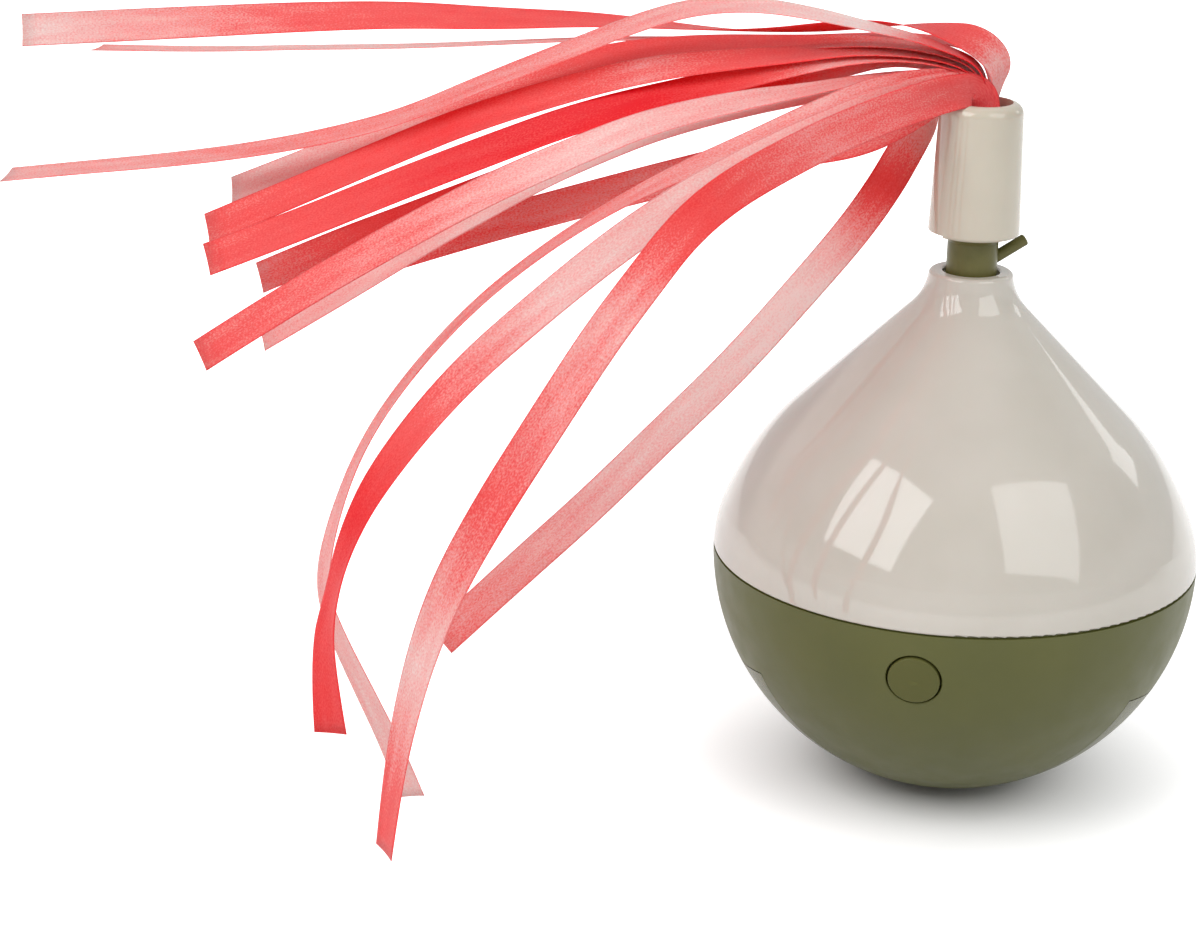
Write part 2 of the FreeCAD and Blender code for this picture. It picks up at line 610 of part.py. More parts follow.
def lower_cuts():
    """Return everything that is cut out of the bowl's inside and its bosses."""
    tools = [middle_block("Bay", "bay_x", "bay_y", "-overshoot", "bay_ceiling")]
    for side, sign in (("Left", "-"), ("Right", "")):
        for end, y in (("Front", "-post_y"), ("Back", "post_y")):
            x = sign + "post_x"
            tools.append(rod("HeadHole" + side + end, "head_radius + head_room", x, y, "0", "post_seat"))
            tools.append(rod("ShankHole" + side + end, "shank_radius + lip_gap", x, y, "0",
                             "equator + overshoot"))
        x = sign + "door_screw_x"
        tools.append(rod("DoorSocketHole" + side, "door_boss + door_gap", x, "0", "0",
                         "door_boss_top + door_gap"))
        tools.append(rod("DoorPilot" + side, "shank_radius + running_gap", x, "0", "0",
                         "door_boss_top + door_gap + pilot_depth"))
    for index, (x, y) in enumerate(PILLARS):
        tools.append(rod("PillarPilot%d" % index, "shank_radius", x, y,
                         "cover_top - gearbox_screw - overshoot", "plate_z + overshoot"))
    edge = rounded_end("(button_radius + button_gap)", "body_radius", "+", -1)
    hole_foot = "flange_face - flange_sheet - overshoot"
    tools.append(aimed(turned("ButtonHole", [("0", hole_foot), (edge[0][0], hole_foot)] + edge
                              + [(edge[1][0], "body_radius + overshoot"), ("0", "body_radius + overshoot")])))
    return fuse("LowerCuts", *tools)


def lower_housing():
    """Round bowl with the battery tub, the door's window and everything that stands in it."""
    bowl = turned("Bowl", [("foot_radius", "0"),
                           ("sqrt(body_radius^2 - seam_gap^2)", "equator - seam_gap", "body_radius", 1),
                           ("body_radius - seam_depth", "equator - seam_gap"),
                           ("body_radius - seam_depth", "equator"),
                           ("inner_radius + lip_wall + lip_gap", "equator"),
                           ("inner_radius + lip_wall + lip_gap", "equator - lip_height"),
                           ("sqrt(inner_radius^2 - lip_height^2)", "equator - lip_height"),
                           ("0", "equator - inner_radius", "inner_radius", -1),
                           ("0", "0")])
    window = saddle("DoorWindow", "-overshoot", "door_gap")
    box = common("BayBox", middle_block("BayBlock", "bay_x + tub_wall", "bay_y + tub_wall", "0", "bay_top"),
                 ball("BayLimit", "tub_radius"))
    pillars = [rod("Pillar%d" % index, "pillar_radius", x, y, "bay_ceiling", "plate_z")
               for index, (x, y) in enumerate(PILLARS)]
    mounts = common("BoardMounts",
                    fuse("BoardMountSet",
                         aimed_rod("BoardMountLeft", "head_radius", "-board_screw_x",
                                   "board_place + board_thickness", "body_radius"),
                         aimed_rod("BoardMountRight", "head_radius", "board_screw_x",
                                   "board_place + board_thickness", "body_radius")),
                    ball("MountLimit", "body_radius - shell_wall / 2"))
    whole = fuse("LowerWhole", cut("OpenBowl", bowl, window), tub_frame(window), box, lower_bosses(),
                 motor_cradle(), mounts, *pillars)
    pilots = [aimed_rod("BoardPilotLeft", "shank_radius", "-board_screw_x", "board_place",
                        "board_place + board_screw + overshoot"),
              aimed_rod("BoardPilotRight", "shank_radius", "board_screw_x", "board_place",
                        "board_place + board_screw + overshoot")]
    return part("lower_housing", cut("LowerHousing", whole, fuse("AllLowerCuts", lower_cuts(), *pilots)))


def battery_door():
    """Saddle-shaped door under the bowl, with ribs below the cells and two screw bosses."""
    outer = ball("DoorOuter", "body_radius")
    reach = saddle("DoorReach", "0", "0")
    skin = cut("DoorSkin", common("DoorBand", outer, reach), ball("DoorInner", "body_radius - door_wall"))
    inside = []
    tools = []
    for side, sign in (("Left", "-"), ("Right", "")):
        inside.append(rod("DoorBoss" + side, "door_boss", sign + "door_screw_x", "0", "0", "door_boss_top"))
        middle = sign + "rib_place"
        inside.append(block("DoorRib" + side, middle + " - rib_wall / 2", middle + " + rib_wall / 2",
                            "-rib_reach", "rib_reach", "0", "cell_height - cell_radius - rib_gap"))
        tools.append(rod("DoorHead" + side, "head_radius + head_room", sign + "door_screw_x", "0",
                         "-overshoot", "door_seat"))
        tools.append(rod("DoorShank" + side, "shank_radius", sign + "door_screw_x", "0",
                         "0", "door_boss_top + overshoot"))
    ribs = common("DoorInside", fuse("DoorInsideSet", *inside),
                  ball("DoorLimit", "body_radius - door_wall / 2"))
    whole = fuse("DoorWhole", skin, ribs)
    return part("battery_door", cut("BatteryDoor", whole, fuse("DoorCuts", *tools)))


# Screws

def screw(name, x, y, seat, length, up):
    """Return a round-headed screw on an upright axis, its shank up or down from the seat."""
    if up:
        head = rod(name + "Head", "head_radius", x, y, seat + " - head_height", seat)
        shank = rod(name + "Shank", "shank_radius", x, y, seat, seat + " + " + length)
        slot_foot, slot_top = seat + " - head_height - overshoot", seat + " - head_height / 2"
    else:
        head = rod(name + "Head", "head_radius", x, y, seat, seat + " + head_height")
        shank = rod(name + "Shank", "shank_radius", x, y, seat + " - " + length, seat)
        slot_foot, slot_top = seat + " + head_height / 2", seat + " + head_height + overshoot"
    slots = [block(name + "Slot", x + " - drive_reach", x + " + drive_reach",
                   y + " - drive_width / 2", y + " + drive_width / 2", slot_foot, slot_top),
             block(name + "Cross", x + " - drive_width / 2", x + " + drive_width / 2",
                   y + " - drive_reach", y + " + drive_reach", slot_foot, slot_top)]
    return cut(name, fuse(name + "Whole", head, shank), fuse(name + "Drive", *slots))


def screws():
    """All the screws, one group for each kind."""
    corners = [(x, y) for x in ("-post_x", "post_x") for y in ("-post_y", "post_y")]
    part("housing_screws", group("HousingScrews", *[
        screw("HousingScrew%d" % index, x, y, "post_seat", "housing_screw", True)
        for index, (x, y) in enumerate(corners)]))
    part("door_screws", group("DoorScrews", *[
        screw("DoorScrew%d" % index, x, "0", "door_seat", "door_screw", True)
        for index, x in enumerate(("-door_screw_x", "door_screw_x"))]))
    part("gearbox_screws", group("GearboxScrews", *[
        screw("GearboxScrew%d" % index, x, y, "cover_top", "gearbox_screw", False)
        for index, (x, y) in enumerate(PILLARS)]))
    board = []
    for index, x in enumerate(("-board_screw_x", "board_screw_x")):
        head = aimed_rod("BoardHead%d" % index, "head_radius", x, "board_place - head_height",
                         "board_place")
        shank = aimed_rod("BoardShank%d" % index, "shank_radius", x, "board_place",
                          "board_place + board_screw")
        board.append(fuse("BoardScrew%d" % index, head, shank))
    part("board_screws", group("BoardScrews", *board))


# Batteries

def side_rod(name, radius, y, left, right):
    """Return a cylinder along X at the cells' height."""
    item = doc.addObject("Part::Cylinder", name)
    bind(item, Radius=radius, Height="(%s) - (%s)" % (right, left))
    item.Placement = FreeCAD.Placement(V(), FreeCAD.Rotation(V(0, 1, 0), 90))
    place(item, left, y, "cell_height")
    return item


def battery_cells():
    """Three cells side by side, the middle one the other way round."""
    for index, (y, nub_right) in enumerate((("-cell_pitch", True), ("0", False), ("cell_pitch", True))):
        half = "(cell_length + nub_length) / 2"
        if nub_right:
            can = side_rod("Can%d" % index, "cell_radius", y, "-" + half, half + " - nub_length")
            nub = side_rod("Nub%d" % index, "nub_radius", y, half + " - nub_length", half)
        else:
            can = side_rod("Can%d" % index, "cell_radius", y, "-" + half + " + nub_length", half)
            nub = side_rod("Nub%d" % index, "nub_radius", y, "-" + half, "-" + half + " + nub_length")
        part("battery_cell_%d" % (index + 1), fuse("Cell%d" % index, can, nub))


def contact_plate(name, right_end, front, back):
    """Return the flat of a contact against one end wall of the bay."""
    if right_end:
        return block(name, "bay_x - contact_sheet", "bay_x", front, back, "contact_foot", "contact_top")
    return block(name, "-bay_x", "-bay_x + contact_sheet", front, back, "contact_foot", "contact_top")


def contact_leaf(name, right_end, y):
    """Return the bowed leaf that presses on the flat end of a cell."""
    sign = 1 if right_end else -1
    face = "%d * (bay_x - contact_sheet)" % sign
    crest = "%d * (bay_x - contact_room + lip_gap)" % sign
    back = "%d * (bay_x - contact_room + lip_gap + contact_sheet)" % sign
    leaf = side_pad(name, [(face, "contact_foot + contact_sheet"),
                           (crest, "cell_height"),
                           (face, "contact_top - contact_sheet"),
                           (face, "contact_top - contact_sheet * 2.5"),
                           (back, "cell_height"),
                           (face, "contact_foot + contact_sheet * 2.5")],
                    "leaf_width")
    place(leaf, y=y)
    return leaf


def contact_button(name, right_end, y):
    """Return the pressed bump that meets the nub of a cell."""
    if right_end:
        return side_rod(name, "nub_radius", y, "bay_x - contact_room + lip_gap", "bay_x - contact_sheet / 2")
    return side_rod(name, "nub_radius", y, "-bay_x + contact_sheet / 2", "-bay_x + contact_room - lip_gap")


def battery_contacts():
    """Stamped contacts that join the three cells in a row."""
    half = "contact_width / 2"
    part("positive_contact", fuse("PositiveContact",
                                  contact_plate("PositivePlate", True, "cell_pitch - " + half,
                                                "cell_pitch + " + half),
                                  contact_button("PositiveBump", True, "cell_pitch")))
    part("negative_contact", fuse("NegativeContact",
                                  contact_plate("NegativePlate", False, "-cell_pitch - " + half,
                                                "-cell_pitch + " + half),
                                  contact_leaf("NegativeLeaf", False, "-cell_pitch")))
    part("bridge_contact_right", fuse("BridgeRight",
                                      contact_plate("BridgeRightPlate", True, "-cell_pitch - " + half, half),
                                      contact_button("BridgeRightBump", True, "-cell_pitch"),
                                      contact_leaf("BridgeRightLeaf", True, "0")))
    part("bridge_contact_left", fuse("BridgeLeft",
                                     contact_plate("BridgeLeftPlate", False, "-" + half,
                                                   "cell_pitch + " + half),
                                     contact_button("BridgeLeftBump", False, "0"),
                                     contact_leaf("BridgeLeftLeaf", False, "cell_pitch")))


# Gearbox

def gear_shape(teeth, foot, face, bore, phase):
    """Return a spur gear with involute flanks, one tooth pointing along the phase angle."""
    module = size("gear_module")
    pitch = module * teeth / 2
    slope = math.radians(size("pressure_angle"))
    base = pitch * math.cos(slope)
    root = pitch - size("tooth_root") * module
    tip = pitch + size("tooth_tip") * module

    def half_angle(radius):
        """Half the angle that a tooth fills at a radius."""
        filled = math.pi / (2 * teeth) - size("gear_backlash") / (2 * pitch) + math.tan(slope) - slope
        if radius <= base:
            return filled
        press = math.acos(base / radius)
        return filled - (math.tan(press) - press)

    start = max(root, base)
    radii = [root] if root < base else []
    radii += [start + (tip - start) * step / 3 for step in range(4)]
    flank = [(radius, half_angle(radius)) for radius in radii]
    points = []
    for tooth in range(teeth):
        middle = math.radians(phase) + tooth * 2 * math.pi / teeth
        for radius, half in flank:
            points.append(V(radius * math.cos(middle - half), radius * math.sin(middle - half), foot))
        for radius, half in reversed(flank):
            points.append(V(radius * math.cos(middle + half), radius * math.sin(middle + half), foot))
    blank = Part.Face(Part.makePolygon(points + points[:1])).extrude(V(0, 0, face))
    return blank.cut(Part.makeCylinder(bore, face, V(0, 0, foot)))


def set_shape(name, shape):
    """Return a plain feature that holds a worked-out shape."""
    item = doc.addObject("Part::Feature", name)
    item.Shape = shape
    return item


def output_gear():
    """Gear that is pressed on the spindle, with five lightening holes in its web."""
    meeting = size("idler_bearing")
    shape = gear_shape(int(size("output_teeth")), size("high_gears"), size("gear_face"),
                       size("shaft_radius"), meeting)
    ring = size("shaft_radius + gear_module * (output_teeth / 2 - tooth_root)") / 2
    holes = int(size("web_holes"))
    for hole in range(holes):
        turn = 2 * math.pi * hole / holes
        centre = V(ring * math.cos(turn), ring * math.sin(turn), size("high_gears"))
        shape = shape.cut(Part.makeCylinder(size("web_hole"), size("gear_face"), centre))
    return part("output_gear", set_shape("OutputGear", shape))


def reduction_gear():
    """Wheel and pinion moulded in one, turning on the fixed pin."""
    bore = size("pin_radius + running_gap")
    small = int(size("small_teeth"))
    towards_spindle = size("idler_bearing") + 180 + 180 / small
    wheel = gear_shape(int(size("wheel_teeth")), size("low_gears"), size("gear_face"), bore,
                       size("motor_bearing"))
    neck = Part.makeCylinder(size("gear_module * (small_teeth / 2 - tooth_root)"), size("level_gap"),
                             V(0, 0, size("low_gears + gear_face")))
    neck = neck.cut(Part.makeCylinder(bore, size("level_gap"), V(0, 0, size("low_gears + gear_face"))))
    pinion = gear_shape(small, size("high_gears"), size("gear_face"), bore, towards_spindle)
    item = set_shape("ReductionGear", wheel.fuse([neck, pinion]).removeSplitter())
    item.Placement.Base = V(size("idler_x"), size("idler_y"), 0)
    return part("reduction_gear", item)


def motor_pinion():
    """Pinion that is pressed on the motor's shaft."""
    teeth = int(size("pinion_teeth"))
    phase = size("motor_bearing") + 180 + 180 / teeth
    shape = gear_shape(teeth, size("low_gears"), size("gear_face"), size("motor_shaft"), phase)
    item = set_shape("MotorPinion", shape)
    item.Placement.Base = V(size("motor_x"), size("motor_y"), 0)
    return part("motor_pinion", item)


def drive_motor():
    """Small can motor with flats, a front bearing, an end cap and two tags."""
    can = common("MotorCan",
                 rod("MotorRound", "motor_width / 2", "motor_x", "motor_y", "bay_top + motor_cap",
                     "plate_z"),
                 block("MotorFlats", "motor_x - motor_width", "motor_x + motor_width",
                       "motor_y - motor_flat / 2", "motor_y + motor_flat / 2", "bay_top", "plate_z"))
    cap = common("MotorCap",
                 rod("CapRound", "motor_width / 2 - motor_step", "motor_x", "motor_y", "bay_top",
                     "bay_top + motor_cap"),
                 block("CapFlats", "motor_x - motor_width", "motor_x + motor_width",
                       "motor_y - motor_flat / 2 + motor_step", "motor_y + motor_flat / 2 - motor_step",
                       "bay_top", "bay_top + motor_cap"))
    nose = rod("MotorNose", "motor_nose", "motor_x", "motor_y", "plate_z", "plate_z + nose_height")
    bore = rod("MotorBore", "motor_shaft + running_gap", "motor_x", "motor_y",
               "plate_z - shaft_depth", "plate_z + nose_height + overshoot")
    return part("drive_motor", cut("DriveMotor", fuse("MotorWhole", can, cap, nose), bore))


def small_shafts():
    """Motor shaft, the reduction gear's pin and the washer under the spindle."""
    part("motor_shaft", rod("MotorShaft", "motor_shaft", "motor_x", "motor_y",
                            "plate_z - shaft_depth + end_play", "low_gears + gear_face"))
    part("gear_pin", rod("GearPin", "pin_radius", "idler_x", "idler_y", "plate_z", "cover_top"))
    part("thrust_washer", cut("ThrustWasher",
                              rod("WasherDisc", "shaft_radius + washer_rim", "0", "0",
                                  "plate_z + plate_thickness", "low_gears - lip_gap"),
                              rod("WasherHole", "pivot_radius + running_gap", "0", "0", "plate_z",
                                  "low_gears + overshoot")))


def plate_holes(name, foot, top, spindle_hole):
    """Return the holes that both gearbox plates share."""
    tools = [rod(name + "Spindle", spindle_hole, "0", "0", foot, top),
             rod(name + "Pin", "pin_radius", "idler_x", "idler_y", foot, top)]
    for index, (x, y) in enumerate(PILLARS):
        tools.append(rod(name + "Screw%d" % index, "shank_radius + lip_gap", x, y, foot, top))
    return tools


def gearbox_base():
    """Plate over the motor with the three pillars that the cover stands on."""
    plate = upright_pad("BasePlate", rounded_plan("plate_left", "plate_right", "plate_front", "plate_back",
                                                  "plate_corner"), "plate_z", "plate_thickness")
    pillars = [rod("BasePillar%d" % index, "pillar_radius", x, y, "plate_z", "cover_z")
               for index, (x, y) in enumerate(PILLARS)]
    hub = rod("PinHub", "pin_radius + hub_wall", "idler_x", "idler_y", "plate_z", "low_gears - lip_gap")
    tools = plate_holes("Base", "plate_z - overshoot", "cover_z + overshoot", "pivot_radius + running_gap")
    tools.append(rod("NoseHole", "motor_nose + running_gap", "motor_x", "motor_y", "plate_z - overshoot",
                     "cover_z"))
    return part("gearbox_base", cut("GearboxBase", fuse("BaseWhole", plate, hub, *pillars),
                                    fuse("BaseCuts", *tools)))


def gearbox_cover():
    """Plate over the gears, cut away over the motor pinion."""
    plate = upright_pad("CoverPlate", rounded_plan("plate_left", "plate_right", "plate_front", "plate_back",
                                                   "plate_corner"), "cover_z", "plate_thickness")
    tools = plate_holes("Cover", "cover_z - overshoot", "cover_top + overshoot",
                        "journal_radius + running_gap")
    tools.append(rod("SightHole", "gear_module * pinion_teeth", "motor_x", "motor_y", "cover_z - overshoot",
                     "cover_top + overshoot"))
    return part("gearbox_cover", cut("GearboxCover", plate, fuse("CoverCuts", *tools)))


# Spindle and cap

def finger():
    """Round finger that rises from the right of the spindle to just under the cap's rim."""
    length = "(finger_reach / cos(finger_lean))"
    bar = turned("Finger", [("0", "0"), ("finger_radius", "0"),
                            ("finger_radius", length + " - finger_round"),
                            ("finger_radius - finger_round", length, "finger_round", 1),
                            ("0", length)])
    foot = V(0, 0, size("cap_z - finger_drop - finger_reach * tan(finger_lean)"))
    turn = FreeCAD.Rotation(V(0, 0, 1), size("finger_azimuth"))
    tip = turn.multVec(V(size("finger_reach"), 0, size("cap_z - finger_drop")))
    bar.Placement = FreeCAD.Placement(foot, FreeCAD.Rotation(V(0, 0, 1), tip - foot))
    return bar


def ribbon_spindle():
    """Green spindle from its foot in the gearbox to its top inside the cap."""
    collar_top = "cap_z - collar_gap"
    core = turned("SpindleCore", [("0", "plate_z + lip_gap"),
                                  ("pivot_radius", "plate_z + lip_gap"),
                                  ("pivot_radius", "low_gears"),
                                  ("shaft_radius", "low_gears"),
                                  ("shaft_radius", "high_gears + gear_face"),
                                  ("journal_radius", "high_gears + gear_face"),
                                  ("journal_radius", "cover_top + end_play"),
                                  ("stem_radius", "cover_top + end_play * 3"),
                                  ("stem_radius", collar_top + " - collar_height"),
                                  ("collar_radius", collar_top + " - collar_height / 2"),
                                  ("collar_radius", collar_top),
                                  ("stem_radius", collar_top),
                                  ("stem_radius", "stem_top - stem_chamfer"),
                                  ("stem_radius - stem_chamfer", "stem_top"),
                                  ("0", "stem_top")])
    return part("ribbon_spindle", fuse("RibbonSpindle", core, finger()))


def neck_bush():
    """Flanged bush that steadies the spindle in the neck."""
    bore = "stem_radius + running_gap"
    flange = "bush_radius + bush_flange"
    return part("neck_bush", turned("NeckBush", [(bore, "bush_foot - flange_thickness"),
                                                 (flange, "bush_foot - flange_thickness"),
                                                 (flange, "bush_foot"),
                                                 ("bush_radius", "bush_foot"),
                                                 ("bush_radius", "bush_top"),
                                                 (bore, "bush_top")]))


def ribbon_cap():
    """Cream cap that is pushed on the spindle, open at the top for the ribbons."""
    bore = "stem_radius + grip_gap"
    solid = turned("CapSolid", [("0", "cap_z"),
                                ("cap_foot - foot_round", "cap_z"),
                                ("cap_foot", "cap_z + foot_round", "foot_round", 1),
                                ("cap_head", "cap_top - cap_round"),
                                ("cap_head - cap_round", "cap_top", "cap_round", 1),
                                ("0", "cap_top")])
    hollow = turned("CapHollow", [("0", "cap_z - overshoot"),
                                  ("cap_foot - skirt_wall", "cap_z - overshoot"),
                                  ("cap_foot - skirt_wall", "cap_z + skirt_depth"),
                                  (bore, "cap_z + skirt_depth"),
                                  (bore, "anchor_z"),
                                  ("anchor_radius", "anchor_z"),
                                  ("anchor_radius", "anchor_top"),
                                  ("cap_mouth", "anchor_top"),
                                  ("cap_mouth", "cap_top + overshoot"),
                                  ("0", "cap_top + overshoot")])
    step = block("CapStep", "-cap_foot - overshoot", "-step_place", "-cap_foot", "cap_foot",
                 "cap_z - overshoot", "cap_z + rim_step")
    return part("ribbon_cap", cut("RibbonCap", solid, fuse("CapCuts", hollow, step)))


def ribbon_anchor():
    """Plug inside the cap whose slot grips the ribbons' ends."""
    disc = rod("AnchorDisc", "anchor_radius", "0", "0", "anchor_z", "anchor_top")
    slot = block("AnchorSlot", "-ribbon_width / 2 - grip_gap", "ribbon_width / 2 + grip_gap", "-slot_front",
                 "slot_back", "anchor_z + slot_floor", "anchor_top + overshoot")
    return part("ribbon_anchor", cut("RibbonAnchor", disc, slot))


# Ribbons

